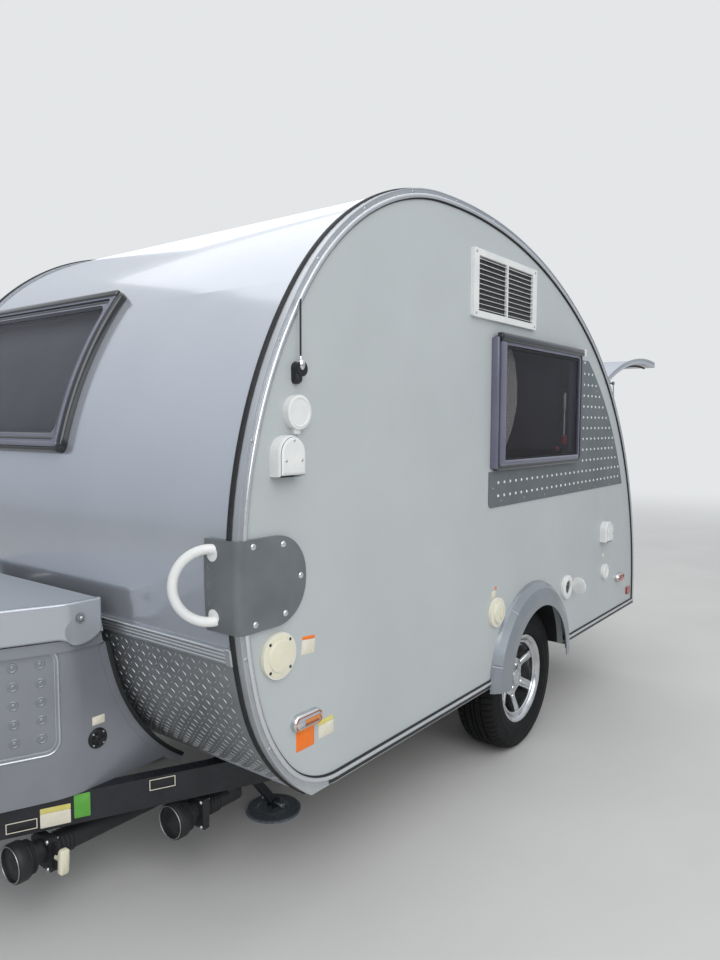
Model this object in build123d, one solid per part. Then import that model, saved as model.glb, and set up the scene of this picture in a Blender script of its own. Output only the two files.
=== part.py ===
"""Teardrop travel trailer on its jack and stands, tail hatch open.

Millimetres. +X is towards the hitch, +Y is the left side, +Z is up, ground at Z 0.
Sizes are drawn from a datum near the axle; at the end everything moves along X so that
the bounding box is centred.
"""
from build123d import *
from math import sin, cos, tan, acos, asin, atan2, degrees, radians, hypot, sqrt
import os

os.makedirs("parts", exist_ok=True)

# body shell
HALF_W = 990.0          # half width over the side walls
WALL_T = 30.0           # sandwich side wall
SKIN_T = 22.0           # curved skin with its lining
LINE_UP = 5.0           # trim stands this far over the skin
FIT = 0.3               # gap between pieces that touch
BODY_Z = 414.0          # underside of the body
FLOOR_T = 45.0
TRIM_W = 40.0           # edge trim, face width
TRIM_T = 4.0            # edge trim, thickness
TRIM_SIDE = 34.0        # edge trim, width on the side face
BEAD_IN = 2.0           # rolled bead inside the edge of the side face
BEAD_WIDE = 14.0
BEAD_PROUD = 5.0
CORNER_R_HEAD = 50.0    # heading where the panel's low front corner meets the curve

# body outline seen from the side: start, first heading, then radius and turn of each arc
START = (1522.0, BODY_Z)
HEAD0 = 34.0
ARC_TABLE = [
    # radius, turn
    (625.0, 41.0),
    (1430.0, 51.0),
    (1025.0, 50.0),
    (2635.0, 34.5),
    (1800.0, 59.5),
]

# levels and breaks
RAIL_Z = 911.0          # middle of the ribbed strip on the nose
RAIL_H = 46.0
HATCH_TOP_Z = 1775.0
HATCH_LOW_Z = 850.0
HATCH_OPEN = 72.0
HATCH_SIDE = 52.0       # edge of the hatch inside the wall's outer face
HATCH_HALF = HALF_W - HATCH_SIDE
HATCH_GAP = 8.0

COUNTER_Z0, COUNTER_Z1 = 812.0, 838.0

# wheels
AXLE_X = -65.0
TYRE_R = 336.0
TYRE_W = 205.0
RIM_R = 190.0
WHEEL_IN = 25.0         # outer face of the tyre inside the wall
WHEEL_FACE = HALF_W - WHEEL_IN
ARCH_X = -75.0
ARCH_Z = 388.0
ARCH_R = 395.0
FENDER_R = 424.0
FENDER_LIP_R = 312.0
FENDER_OUT = 56.0
FENDER_NOTCHES = (16.5, 54.0, 126.0, 163.5)    # degrees round the arch
NOTCH_R = 7.0
NOTCH_DEEP = 3.2
LINER_T = 5.0
WELL_GAP = 21.0         # wheel pocket beside the tyre
WELL_Y = WHEEL_FACE - TYRE_W - WELL_GAP
DRUM_R = 112.0
DRUM_T = 32.0
DRUM_Y0 = WELL_Y + 13.0
DRUM_Y1 = DRUM_Y0 + DRUM_T
SPINDLE_R = 22.0
RUN_FIT = 0.05          # running clearance on a radius
HUB_SET = 90.0          # wheel mounting face inside the tyre's outer face
HUB_FACE = WHEEL_FACE - HUB_SET
SPOKES = 6
SPOKE_HALF = 21.0
WHEEL_BOLTS = 5
BOLT_CIRCLE_R = 57.15

# side windows and door
WIN_X0, WIN_X1 = -580.0, 370.0
WIN_Z0, WIN_Z1 = 1360.0, 1925.0
WIN_R = 42.0
WIN_EDGE = 34.0         # frame width
WIN_PROUD = 26.0
WIN_POST = 52.0         # raised flange along the front edge
WIN_RAIL = 30.0         # hinge rail along the top
DOOR_X0, DOOR_X1 = 455.0, 1105.0
DOOR_Z0, DOOR_Z1 = 470.0, 1990.0
DOOR_GAP = 6.0
DOOR_R = 90.0
DOOR_OPEN = 110.0
DOOR_WIN = (560.0, 1345.0, 990.0, 1860.0)

# front window, Y limits and heading limits on the curve
FW_Y0, FW_Y1 = -880.0, 112.0
FW_H0, FW_H1 = 102.8, 128.6
FW_PROUD = 24.0
FW_EDGE = 52.0
FW_R = 20.0             # outer corners
FW_PANE_R = 46.0        # corners of the pane
FW_STEP = 9.0           # ridge between the outer lip and the seal

# chassis
SILL_GAP = 39.0         # long rails inside the wheel pockets
SILL_HALF = WELL_Y - SILL_GAP
SILL_W = 60.0
SILL_H = 100.0
SILL_X0, SILL_X1 = -1560.0, 1330.0
RAIL_WALL = 5.0
DRAW_X0 = SILL_X1 - 14.0
DRAW_T = 50.0
DRAW_Z0, DRAW_Z1 = 304.0, 404.0
DRAW_X1 = 2600.0
DRAW_OUT = 64.6
COUPLER_X = DRAW_X1 + 330.0
COUPLER_Z = 436.0
COUPLER_R = 46.0
COUPLER_T = 5.0
BALL_R = 25.9
JACK_X = DRAW_X1 - 95.0
JACK_TUBE_R = 31.0
JACK_LEG_R = 21.0
JACK_TOP = 860.0
JACK_LOW = 290.0        # lower end of the outer tube
JACK_LIFT = 250.0
JACK_FOOT_R = 80.0

# steadies
STEADY_Y = 0.6 * SILL_HALF
STEADY_HINGE = (1340.0, 338.0)
STEADY_FOOT = (1100.0, 34.0)
STEADY_REAR = (-1420.0, 338.0)
PAD_R = 110.0
PAD_T = 9.0
LEG_W, LEG_H, LEG_T = 26.0, 30.0, 3.0

# hinge knuckles
PIN_R = 4.0
KNUCKLE_R = 9.0
KNUCKLE_W = 36.0
SIDE_GAP = 0.5
HATCH_PIN_UP = 10.0     # hinge axis over the outline
DOOR_PIN_OUT = 13.0     # hinge axis outside the wall
DOOR_PIN_IN = 3.0       # hinge axis inside the door opening
VENT_PIN = (14.0, 36.0)
LID_PIN_R = 6.0

# gas struts of the tail hatch, beside the walls
STRUT_Y = HALF_W - TRIM_W - 14.0
STRUT_FOOT = (243.0, 70.0)    # heading and depth of the foot pin
STRUT_EYE = (231.0, 60.0)     # heading and depth of the eye on the shut hatch
STRUT_R = 9.0
STRUT_ROD_R = 4.0
STRUT_PIN_R = 4.0
STRUT_END = 22.0              # from a pin to the tube
STRUT_GLAND = 12.0

# waste pipes
PIPE_R = 36.0
CAP_R = 58.0
DRAINS = [
    # x of the elbow, x of the cap, y, z, side of the pull
    (1402.0, 1690.0, STEADY_Y + 102.0, 240.0, -1),
    (1240.0, 2130.0, STEADY_Y - 90.0, 236.0, 1),
]

# tub on the tongue
TUB_HALF = 400.0
TUB_GAP = 55.0
TUB_Z0, TUB_Z1 = 404.3, 900.0
TUB_BEND_X = 1975.0
TUB_BEND_R = 240.0
TUB_FRONT_X = JACK_X - 105.0
TUB_FRONT_HALF = 215.0
TUB_T = 5.0
TUB_RIM = 12.0          # rim round the top of the tub
PANEL_IN = 30.0         # pressed panel in from the ends of the slanting side
PANEL_Z0, PANEL_Z1 = 560.0, 872.0
PANEL_DEEP = 6.0
PANEL_R = 34.0
BEAD_W = 11.0
LID_TOP = 1015.0
LID_HINGE = (1938.0, 965.0)
LID_OPEN = 75.0

PARTS = {}


def arcs(d):
    """Centre, radius and heading span of every arc of the outline, moved inwards by d."""
    found = []
    x, z = START
    a = HEAD0
    for r, turn in ARC_TABLE:
        cx = x - r * sin(radians(a))
        cz = z + r * cos(radians(a))
        b = a + turn
        found.append((cx, cz, r - d, a, b))
        x = cx + r * sin(radians(b))
        z = cz - r * cos(radians(b))
        a = b
    return found


def on_line(h, d=0.0):
    """Point of the outline at heading h, moved inwards by d."""
    for cx, cz, r, a, b in arcs(d):
        if a <= h <= b + 1e-6:
            return (cx + r * sin(radians(h)), cz - r * cos(radians(h)))
    raise ValueError("heading off the outline")


def heading_at(i, z):
    """Heading where arc i of the outline passes level z."""
    cx, cz, r, a, b = arcs(0.0)[i]
    c = (cz - z) / r
    h = degrees(acos(c))
    return h if a <= h <= b else 360.0 - h


def line_edges(d, h0, h1):
    """Edges of the outline from heading h0 to h1, moved inwards by d."""
    edges = []
    for cx, cz, r, a, b in arcs(d):
        lo, hi = max(a, h0), min(b, h1)
        if hi - lo < 1e-6:
            continue
        p = [(cx + r * sin(radians(t)), 0, cz - r * cos(radians(t))) for t in (lo, (lo + hi) / 2, hi)]
        edges.append(ThreePointArc(*p).edge())
    return edges


def slab(edges, y0, y1):
    """Solid between planes y0 and y1 over a closed loop of edges in the XZ plane."""
    face = Face(Wire(edges))
    return extrude(face.moved(Location((0, y0, 0))), amount=y1 - y0, dir=(0, 1, 0))


def seg(p, q):
    return Line((p[0], 0, p[1]), (q[0], 0, q[1])).edge()


def poly(points, y0, y1):
    """Prism over straight-sided XZ points."""
    ring = [seg(points[i], points[(i + 1) % len(points)]) for i in range(len(points))]
    return slab(ring, y0, y1)


def band(d0, d1, h0, h1, y0, y1):
    """Curved sheet between two depths under the outline and two headings."""
    outer = line_edges(d0, h0, h1)
    inner = line_edges(d1, h0, h1)
    ring = outer + [seg(on_line(h1, d0), on_line(h1, d1))] + inner[::-1]
    ring = ring + [seg(on_line(h0, d1), on_line(h0, d0))]
    return slab(ring, y0, y1)


def level_heading(i, d, z):
    """Heading where arc i, moved inwards by d, passes level z."""
    cx, cz, r, a, b = arcs(d)[i]
    h = degrees(acos((cz - z) / r))
    return h if i < 3 else 360.0 - h


def whole(d, y0, y1, low):
    """Full side shape moved inwards by d, closed by a level line at height low."""
    h0, h1 = HEAD0, 270.0
    if low > on_line(HEAD0, d)[1] + 0.01:
        h0 = level_heading(0 if low < on_line(arcs(d)[0][4], d)[1] else 1, d, low)
    if low > on_line(270.0, d)[1] + 0.01:
        h1 = level_heading(4, d, low)
    first, last = on_line(h0, d), on_line(h1, d)
    ring = line_edges(d, h0, h1)
    if last[1] - low > 0.01:
        ring.append(seg(last, (last[0], low)))
    toe = (first[0] - (first[1] - low) / tan(radians(HEAD0)), low)
    if first[1] - low > 0.01:
        ring.append(seg((last[0], low), toe))
        ring.append(seg(toe, first))
    else:
        ring.append(seg((last[0], low), first))
    return slab(ring, y0, y1)


def rounded(d, y0, y1, low):
    """As whole, with the low front corner rounded into the bottom line."""
    h = CORNER_R_HEAD
    edges = line_edges(d, h, 270.0)
    first, last = on_line(h, d), on_line(270.0, d)
    r = (first[1] - low) / (1 - cos(radians(h)))
    start = (first[0] - r * sin(radians(h)), low)
    mid = (start[0] + r * sin(radians(h / 2)), low + r * (1 - cos(radians(h / 2))))
    arc = ThreePointArc((start[0], 0, start[1]), (mid[0], 0, mid[1]), (first[0], 0, first[1])).edge()
    ring = edges + [seg(last, (last[0], low)), seg((last[0], low), start), arc]
    return slab(ring, y0, y1)


def block(x0, x1, y0, y1, z0, z1):
    return Pos((x0 + x1) / 2, (y0 + y1) / 2, (z0 + z1) / 2) * Box(x1 - x0, y1 - y0, z1 - z0)


def round_block(x0, x1, y0, y1, z0, z1, r):
    """Box with its four edges along Y rounded."""
    shape = block(x0, x1, y0, y1, z0, z1)
    return fillet(shape.edges().filter_by(Axis.Y), r)


def rod_y(x, z, r, y0, y1):
    return Pos(x, (y0 + y1) / 2, z) * Rot(90, 0, 0) * Cylinder(r, y1 - y0)


def rod_x(y, z, r, x0, x1):
    return Pos((x0 + x1) / 2, y, z) * Rot(0, 90, 0) * Cylinder(r, x1 - x0)


def rod_z(x, y, r, z0, z1):
    return Pos(x, y, (z0 + z1) / 2) * Cylinder(r, z1 - z0)


def beam(p, q, w, h):
    """Bar from p to q in a plane of constant Y; w is its width along Y, h its depth."""
    dx, dz = q[0] - p[0], q[2] - p[2]
    length = hypot(dx, dz)
    turn = -degrees(atan2(dz, dx))
    mid = ((p[0] + q[0]) / 2, p[1], (p[2] + q[2]) / 2)
    return Pos(*mid) * Rot(0, turn, 0) * Box(length, w, h)


def flip(shape):
    """Mirror image on the other side."""
    return mirror(shape, about=Plane.XZ)


def both(shape):
    return Compound(children=[*solids_of(shape), *solids_of(flip(shape))])


def solids_of(shape):
    return list(shape.solids())


def keep(name, shape):
    PARTS[name] = shape


INNER_D = LINE_UP + SKIN_T
IN_Y = HALF_W - WALL_T
H_RAIL = heading_at(1, RAIL_Z)
H_HINGE = heading_at(4, HATCH_TOP_Z)
H_LOW = heading_at(4, HATCH_LOW_Z)
GAP_H = degrees(HATCH_GAP / 1800.0)
FLOOR_TOP = BODY_Z + FLOOR_T

inside = whole(INNER_D + FIT, -(IN_Y - FIT), IN_Y - FIT, FLOOR_TOP)

# side walls
arch = rod_y(ARCH_X, ARCH_Z, ARCH_R, IN_Y - 5, HALF_W + 5)
arch = arch + block(ARCH_X - ARCH_R, ARCH_X + ARCH_R, IN_Y - 5, HALF_W + 5, BODY_Z - 60, ARCH_Z)
cut_l = round_block(WIN_X0 + 14, WIN_X1 - 14, IN_Y - 5, HALF_W + 5, WIN_Z0 + 14, WIN_Z1 - 14, WIN_R - 10)
wall = whole(LINE_UP, IN_Y, HALF_W, BODY_Z + 0.5)
wall_l = wall - arch - cut_l
door_cut = round_block(DOOR_X0, DOOR_X1, -HALF_W - 5, -IN_Y + 5, DOOR_Z0, DOOR_Z1, DOOR_R)
wall_r = flip(wall) - flip(arch) - flip(cut_l) - door_cut
keep("side_wall_left", wall_l)
keep("side_wall_right", wall_r)

# curved skin from the ribbed strip over the roof to the hatch hinge
SKIN_HALF = IN_Y - FIT
skin = band(LINE_UP, INNER_D, H_RAIL + 0.02, H_HINGE - GAP_H / 2, -SKIN_HALF, SKIN_HALF)
fw_cut = band(-20, INNER_D + 20, FW_H0 + 1.1, FW_H1 - 1.1, FW_Y0 + 32, FW_Y1 - 32)
VENT_H = 187.0
VENT_HALF = 200.0
vent_c = on_line(VENT_H, LINE_UP)
vent_loc = Pos(vent_c[0], 0, vent_c[1]) * Rot(0, -(VENT_H - 180.0), 0)
skin = skin - fw_cut - vent_loc * Box(2 * VENT_HALF - 60, 2 * VENT_HALF - 60, 120)
keep("roof_skin", skin)

guard = band(LINE_UP, INNER_D, HEAD0, H_RAIL - 0.02, -SKIN_HALF, SKIN_HALF)
keep("gravel_guard", guard)

h_strip = degrees(RAIL_H / 2 / 1430.0)
strip = band(-5.0, LINE_UP, H_RAIL - h_strip, H_RAIL + h_strip, -(HALF_W - TRIM_W - 1), HALF_W - TRIM_W - 1)
for k in (-0.5, 0.5):
    strip = strip - band(-6.0, -2.0, H_RAIL + k * h_strip - 0.12, H_RAIL + k * h_strip + 0.12, -HALF_W, HALF_W)
keep("guard_rail", strip)

# low tail panel with a rolled sill on top
tail_low = on_line(270.0, LINE_UP)
tail = band(LINE_UP, INNER_D, H_LOW + GAP_H, 270.0, -SKIN_HALF, SKIN_HALF)
tail = tail + block(tail_low[0], tail_low[0] + SKIN_T, -SKIN_HALF, SKIN_HALF, BODY_Z + 0.5, tail_low[1])
sill_p = on_line(H_LOW + GAP_H, INNER_D)
tail = tail + block(sill_p[0] - 18, sill_p[0] + 40, -SKIN_HALF, SKIN_HALF, COUNTER_Z0 - 34, COUNTER_Z0 - FIT)
keep("tail_panel", tail)

# floor with wheel pockets
floor = block(-1613.5 + INNER_D + FIT, 1478.0, -SKIN_HALF, SKIN_HALF, BODY_Z + 0.3, FLOOR_TOP - FIT)
pocket = block(ARCH_X - ARCH_R - LINER_T - FIT, ARCH_X + ARCH_R + LINER_T + FIT, WELL_Y - FIT, HALF_W, BODY_Z - 10, FLOOR_TOP + 10)
floor = floor - pocket - flip(pocket)
keep("floor_deck", floor)

well = rod_y(ARCH_X, ARCH_Z, ARCH_R + LINER_T, WELL_Y, SKIN_HALF)
well = well - rod_y(ARCH_X, ARCH_Z, ARCH_R, WELL_Y + LINER_T, SKIN_HALF + 5)
well = well - block(ARCH_X - 500, ARCH_X + 500, WELL_Y - 40, HALF_W, -100, BODY_Z + 2)
keep("wheel_wells", both(well))

# edge trim on both sides: side face, rolled top and the low front corner plate
trim = whole(0.0, HALF_W, HALF_W + TRIM_T, BODY_Z)
trim = trim - rounded(TRIM_SIDE, HALF_W - 1, HALF_W + TRIM_T + 1, BODY_Z + TRIM_SIDE - 2)
bead_d = TRIM_SIDE - BEAD_IN
bead = rounded(bead_d - BEAD_WIDE, HALF_W + TRIM_T - 1, HALF_W + TRIM_T + BEAD_PROUD, BODY_Z + bead_d - BEAD_WIDE - 2)
bead = bead - rounded(bead_d, HALF_W, HALF_W + TRIM_T + BEAD_PROUD + 1, BODY_Z + bead_d - 2)
trim = trim + (bead - rod_y(ARCH_X, ARCH_Z, FENDER_R + 2, HALF_W, HALF_W + 20))
cap_band = band(0.0, LINE_UP - 0.3, HEAD0, 270.0, HALF_W - TRIM_W, HALF_W + TRIM_T)
tail_x = on_line(270.0, 0.0)
cap_tail = block(tail_x[0], tail_x[0] + LINE_UP - 0.3, HALF_W - TRIM_W, HALF_W + TRIM_T, BODY_Z, tail_x[1])
trim = trim + cap_band + cap_tail
arch_out = rod_y(ARCH_X, ARCH_Z, ARCH_R, HALF_W - 5, HALF_W + 25)
arch_out = arch_out + block(ARCH_X - ARCH_R, ARCH_X + ARCH_R, HALF_W - 5, HALF_W + 25, BODY_Z - 60, ARCH_Z)
trim = trim - arch_out
keep("edge_trims", both(trim))

# wheel flares
fl = [(FENDER_R, 0), (FENDER_R - 6, 16), (FENDER_R - 32, 40), (FENDER_R - 74, 53), (FENDER_LIP_R, FENDER_OUT)]
fl_in = [(FENDER_LIP_R, 51), (FENDER_R - 75, 48), (FENDER_R - 35, 35), (FENDER_R - 11, 13), (FENDER_R - 6, 0)]
pts = [(r, HALF_W + y) for r, y in fl + fl_in]
ring = Polyline(*[(p[0], p[1], 0) for p in pts], close=True)
flare = revolve(Face(Wire(ring.edges())), Axis.Y, 180)
flare = flare.moved(Location((ARCH_X, 0, ARCH_Z)))
if flare.bounding_box().max.Z < ARCH_Z + 50:
    flare = mirror(flare, about=Plane.XY.offset(ARCH_Z))
flare = flare - block(-900, 900, HALF_W - 20, HALF_W + TRIM_T + 0.3, 300, BODY_Z + TRIM_W)
lean = atan2(24.0, 26.0)
for turn in FENDER_NOTCHES:
    reach = FENDER_R - 19 + (NOTCH_R - NOTCH_DEEP) * sin(lean)
    out = HALF_W + 28 + (NOTCH_R - NOTCH_DEEP) * cos(lean)
    notch = Pos(reach, out, 0) * Rot(0, 0, 90 + degrees(lean)) * Rot(0, 90, 0) * Cylinder(NOTCH_R, 62)
    flare = flare - Pos(ARCH_X, 0, ARCH_Z) * Rot(0, -turn, 0) * notch
keep("wheel_flares", both(flare))

# side windows: frame standing proud of the wall, and the pane
def side_frame():
    outer = round_block(WIN_X0, WIN_X1, HALF_W + FIT, HALF_W + WIN_PROUD, WIN_Z0, WIN_Z1, WIN_R)
    lip = round_block(WIN_X0 + 16, WIN_X1 - 16, IN_Y, HALF_W + FIT, WIN_Z0 + 16, WIN_Z1 - 16, WIN_R - 12)
    e = WIN_EDGE
    hole = round_block(WIN_X0 + e, WIN_X1 - e, IN_Y - 9, HALF_W + 60, WIN_Z0 + e, WIN_Z1 - e, 14)
    frame = outer + lip - hole
    z0, z1 = WIN_Z0 + 23, WIN_Z1 - 23
    post = round_block(WIN_X1 - 20 - WIN_POST, WIN_X1 - 20, HALF_W + 18.3, HALF_W + WIN_PROUD + 8, z0, z1, 10)
    y1 = HALF_W + WIN_PROUD + 12
    rail = round_block(WIN_X0 + 15, WIN_X1 - 15, HALF_W + 18.3, y1, WIN_Z1 + 11 - WIN_RAIL, WIN_Z1 + 11, 5)
    return frame + post + rail


def side_pane():
    e = WIN_EDGE + FIT
    return round_block(WIN_X0 + e, WIN_X1 - e, HALF_W + 10, HALF_W + 18, WIN_Z0 + e, WIN_Z1 - e, 13)


frames = both(side_frame())

# front window on the nose curve
fw_mid = (FW_H0 + FW_H1) / 2
fw_top, fw_low = on_line(FW_H1), on_line(FW_H0)
FW_CHORD = hypot(fw_top[0] - fw_low[0], fw_top[1] - fw_low[1])
fw_face = Plane(
    origin=((fw_top[0] + fw_low[0]) / 2, (FW_Y0 + FW_Y1) / 2, (fw_top[1] + fw_low[1]) / 2),
    x_dir=(0, 1, 0), z_dir=(sin(radians(fw_mid)), 0, -cos(radians(fw_mid))))


def fw_prism(g, r):
    """Rounded prism through the front window, its edges in by g."""
    rect = RectangleRounded(FW_Y1 - FW_Y0 - 2 * g, FW_CHORD - 2 * g, r)
    return extrude(fw_face * rect, amount=250, both=True)


fw_frame = band(LINE_UP - FW_PROUD, LINE_UP - FIT, FW_H0 - 0.5, FW_H1 + 0.5, FW_Y0 - 5, FW_Y1 + 5) & fw_prism(0, FW_R)
fw_ridge = band(LINE_UP - FW_PROUD - FW_STEP, LINE_UP - FW_PROUD + 1, FW_H0, FW_H1, FW_Y0, FW_Y1)
fw_ridge = fw_ridge & fw_prism(12, FW_R)
fw_ridge = fw_ridge - fw_prism(30, FW_R)
fw_lip = band(LINE_UP - FIT - 1, INNER_D, FW_H0, FW_H1, FW_Y0, FW_Y1) & fw_prism(33, FW_R)
fw_frame = fw_frame + fw_ridge + fw_lip - fw_prism(FW_EDGE, FW_PANE_R)
fw_pane = band(LINE_UP - 14, LINE_UP - 6, FW_H0, FW_H1, FW_Y0, FW_Y1) & fw_prism(FW_EDGE + FIT, FW_PANE_R)
keep("window_frames", Compound(children=[*solids_of(frames), *solids_of(fw_frame)]))
keep("window_panes", Compound(children=[*solids_of(both(side_pane())), *solids_of(fw_pane)]))

# dimpled plates below and behind the side windows
plate = whole(128.0, HALF_W + FIT, HALF_W + 3.3, 1200.0)
plate = plate & round_block(-1500, 386, HALF_W - 1, HALF_W + 5, 1200, 1890, 25)
plate = plate - block(WIN_X0 - 12, 500, HALF_W - 1, HALF_W + 5, WIN_Z0 - 6, 2100)
keep("dimple_plates", both(plate))

# air outlet grille, left wall
GR_X0, GR_X1 = -25.0, 562.0
GR_Z0, GR_Z1 = 1982.0, 2250.0
grille = round_block(GR_X0, GR_X1, HALF_W + FIT, HALF_W + 16, GR_Z0, GR_Z1, 8)
GR_E = 42.0
mid_x = (GR_X0 + GR_X1) / 2
wells = block(GR_X0 + GR_E, mid_x - 5, HALF_W + 4, HALF_W + 30, GR_Z0 + 26, GR_Z1 - 26)
wells = wells + block(mid_x + 5, GR_X1 - GR_E, HALF_W + 4, HALF_W + 30, GR_Z0 + 26, GR_Z1 - 26)
grille = grille - wells
SLATS = 11
for k in range(SLATS):
    zz = GR_Z0 + 26 + (k + 0.5) * (GR_Z1 - GR_Z0 - 52) / SLATS
    for xa, xb in ((GR_X0 + GR_E - 1, mid_x - 4), (mid_x + 4, GR_X1 - GR_E + 1)):
        slat = Pos((xa + xb) / 2, HALF_W + 9, zz) * Rot(-18, 0, 0) * Box(xb - xa, 12, 2.2)
        grille = grille + slat
keep("air_grille", grille)

# corner caps with grab handles
CAP_Z0, CAP_Z1 = 981.0, 1241.0
CAP_X0 = 1556.0
CAP_BEND = 122.0        # rear corners of the cap
CAP_FOLD = 22.0         # fold between its side and front
CAP_T = 14.0
CAP_FRONT = 118.0       # front face, in from the wall
cap = whole(-9.0, HALF_W - CAP_FRONT, HALF_W + CAP_T, CAP_Z0 - 50)
fold = [e for e in cap.edges().group_by(Axis.Y)[-1] if e.geom_type == GeomType.CIRCLE]
cap = fillet(fold, CAP_FOLD)
cap = cap & round_block(CAP_X0, 2100, HALF_W - CAP_FRONT - 5, HALF_W + 40, CAP_Z0, CAP_Z1, CAP_BEND)
cap = cap - whole(-FIT, HALF_W - CAP_FRONT - 9, HALF_W + FIT, CAP_Z0 - 60)
over = whole(-FIT, HALF_W - 90, HALF_W + TRIM_T + FIT, CAP_Z0 - 50) - whole(TRIM_SIDE + FIT, HALF_W - 95, HALF_W + 9, CAP_Z0 - 60)
over = over + (whole(TRIM_SIDE - BEAD_WIDE - 4, HALF_W, HALF_W + TRIM_T + BEAD_PROUD + FIT, CAP_Z0 - 50) - whole(TRIM_SIDE + FIT, HALF_W - 5, HALF_W + 12, CAP_Z0 - 60))
cap = cap - over
keep("corner_caps", both(cap))

HANDLE_Z0, HANDLE_Z1 = 1012.0, 1212.0
HANDLE_BOW = 120.0
HANDLE_R = 14.0
h_mid = (HANDLE_Z0 + HANDLE_Z1) / 2
h_span = (HANDLE_Z1 - HANDLE_Z0) / 2
bow = ThreePointArc((0, 0, -h_span), (HANDLE_BOW, 0, 0), (0, 0, h_span))
sec = Plane(origin=bow @ 0, z_dir=bow % 0) * Circle(HANDLE_R)
grip = sweep(sec, path=bow)
grip_turn = -38.0
grip = Pos(1822.0, HALF_W - 78, h_mid) * Rot(0, 0, grip_turn) * grip
grip = grip - whole(-9.3, 0, HALF_W + 40, CAP_Z0 - 100)
keep("grab_handles", both(grip))

# fittings on the left wall
COWL_T = 3.5            # wall of the hollow vent cowls


def cowl(x, z, w, h, depth):
    low = block(x - w / 2, x + w / 2, HALF_W + FIT, HALF_W + depth, z - h / 2, z + h / 2 - w / 2)
    top = rod_y(x, z + h / 2 - w / 2, w / 2, HALF_W + FIT, HALF_W + depth)
    body = low + top
    body = fillet(body.faces().sort_by(Axis.Y)[-1].edges(), 14)
    side = w / 2 - COWL_T
    mouth = block(x - side, x + side, HALF_W, HALF_W + depth - COWL_T, z - h / 2 - 5, z + h / 2 - w / 2)
    mouth = mouth + rod_y(x, z + h / 2 - w / 2, side, HALF_W, HALF_W + depth - COWL_T)
    return body - (mouth & block(x - side, x + side, HALF_W + FIT + COWL_T, HALF_W + depth, z - h, z + h))


def disc(x, z, r, depth):
    return rod_y(x, z, r, HALF_W + FIT, HALF_W + depth)


fits = [cowl(1640.0, 1466.0, 108.0, 116.0, 46.0), cowl(-1033.0, 943.0, 104.0, 116.0, 46.0)]
fits.append(disc(1590.0, 1590.0, 50.0, 22.0))
fits.append(disc(1666.0, 891.0, 68.0, 12.0) + disc(1666.0, 891.0, 46.0, 18.0))
fits.append(disc(302.0, 740.0, 64.0, 14.0) + disc(302.0, 740.0, 44.0, 26.0))
port = disc(-490.0, 712.0, 62.0, 14.0) - rod_y(-490.0, 712.0, 34.0, HALF_W + 6, HALF_W + 40)
fits.append(port)
fits.append(disc(-1050.0, 706.0, 44.0, 18.0))
keep("wall_fittings", Compound(children=[s for f in fits for s in solids_of(f)]))

# marker lamps and tail lamps
amber = round_block(1547.0 - 58, 1547.0 + 58, HALF_W + FIT, HALF_W + 20, 643.0, 683.0, 15)
redm = round_block(-1322.0 - 52, -1322.0 + 52, HALF_W + FIT, HALF_W + 20, 608.0, 646.0, 15)
lens = block(-1535.0, -1475.0, HALF_W + FIT, HALF_W + 8, 492.0, 536.0)
lamps = solids_of(both(amber)) + solids_of(both(redm)) + solids_of(both(lens))
tail_face = tail_low[0]
for yy in (780.0, 640.0):
    one = rod_x(yy, 640.0, 58.0, tail_face - 0 - 30, tail_face + 20)
    one = one - whole(LINE_UP - FIT, 0, HALF_W, BODY_Z - 10)
    lamps = lamps + solids_of(both(one))
keep("lamps", Compound(children=lamps))

ant = disc(1582.0, 1714.0, 22.0, 26.0)
ant = ant + rod_z(1582.0, HALF_W + 18.0, 3.0, 1720.0, 1912.0)
keep("antenna", ant)

# entry door on the right
w0 = KNUCKLE_W / 2
door = round_block(DOOR_X0 + DOOR_GAP, DOOR_X1 - DOOR_GAP, -HALF_W - 2, -IN_Y, DOOR_Z0 + DOOR_GAP, DOOR_Z1 - DOOR_GAP, DOOR_R - DOOR_GAP)
dx0, dz0, dx1, dz1 = DOOR_WIN
door = door - round_block(dx0 + 20, dx1 - 20, -HALF_W - 40, -IN_Y + 20, dz0 + 20, dz1 - 20, 40)
DOOR_AXIS = (DOOR_X1 - DOOR_PIN_IN, -(HALF_W + DOOR_PIN_OUT))
door_leaves = []
out_y = DOOR_AXIS[1]
for z in (720.0, 1740.0):
    leaf = rod_z(DOOR_AXIS[0], out_y, KNUCKLE_R - 1, z - w0, z + w0)
    leaf = leaf + block(DOOR_AXIS[0] - 40, DOOR_AXIS[0] - 3, out_y, -HALF_W - 1.5, z - w0, z + w0)
    door = door + (leaf - rod_z(DOOR_AXIS[0], out_y, PIN_R + RUN_FIT, z - w0 - 1, z + w0 + 1))
    fixed = rod_z(DOOR_AXIS[0], out_y, PIN_R, z - w0 - 20, z + w0 + 20)
    for za, zb in ((z - w0 - 20, z - w0 - SIDE_GAP), (z + w0 + SIDE_GAP, z + w0 + 20)):
        fixed = fixed + rod_z(DOOR_AXIS[0], out_y, KNUCKLE_R - 1, za, zb)
        fixed = fixed + block(DOOR_AXIS[0] + 4, DOOR_AXIS[0] + 24, out_y, -HALF_W - 3.6, za, zb)
    door_leaves = door_leaves + solids_of(fixed)
keep("entry_door", door)
dframe = round_block(dx0, dx1, -HALF_W - 14, -HALF_W - 2 - FIT, dz0, dz1, 50)
dframe = dframe - round_block(dx0 + 30, dx1 - 30, -HALF_W - 40, -IN_Y + 20, dz0 + 30, dz1 - 30, 30)
handle = round_block(DOOR_X0 + 40, DOOR_X0 + 130, -HALF_W - 16, -HALF_W - 2 - FIT, 1150, 1270, 20)
keep("door_hardware", Compound(children=[*solids_of(dframe), *solids_of(handle)]))
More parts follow.
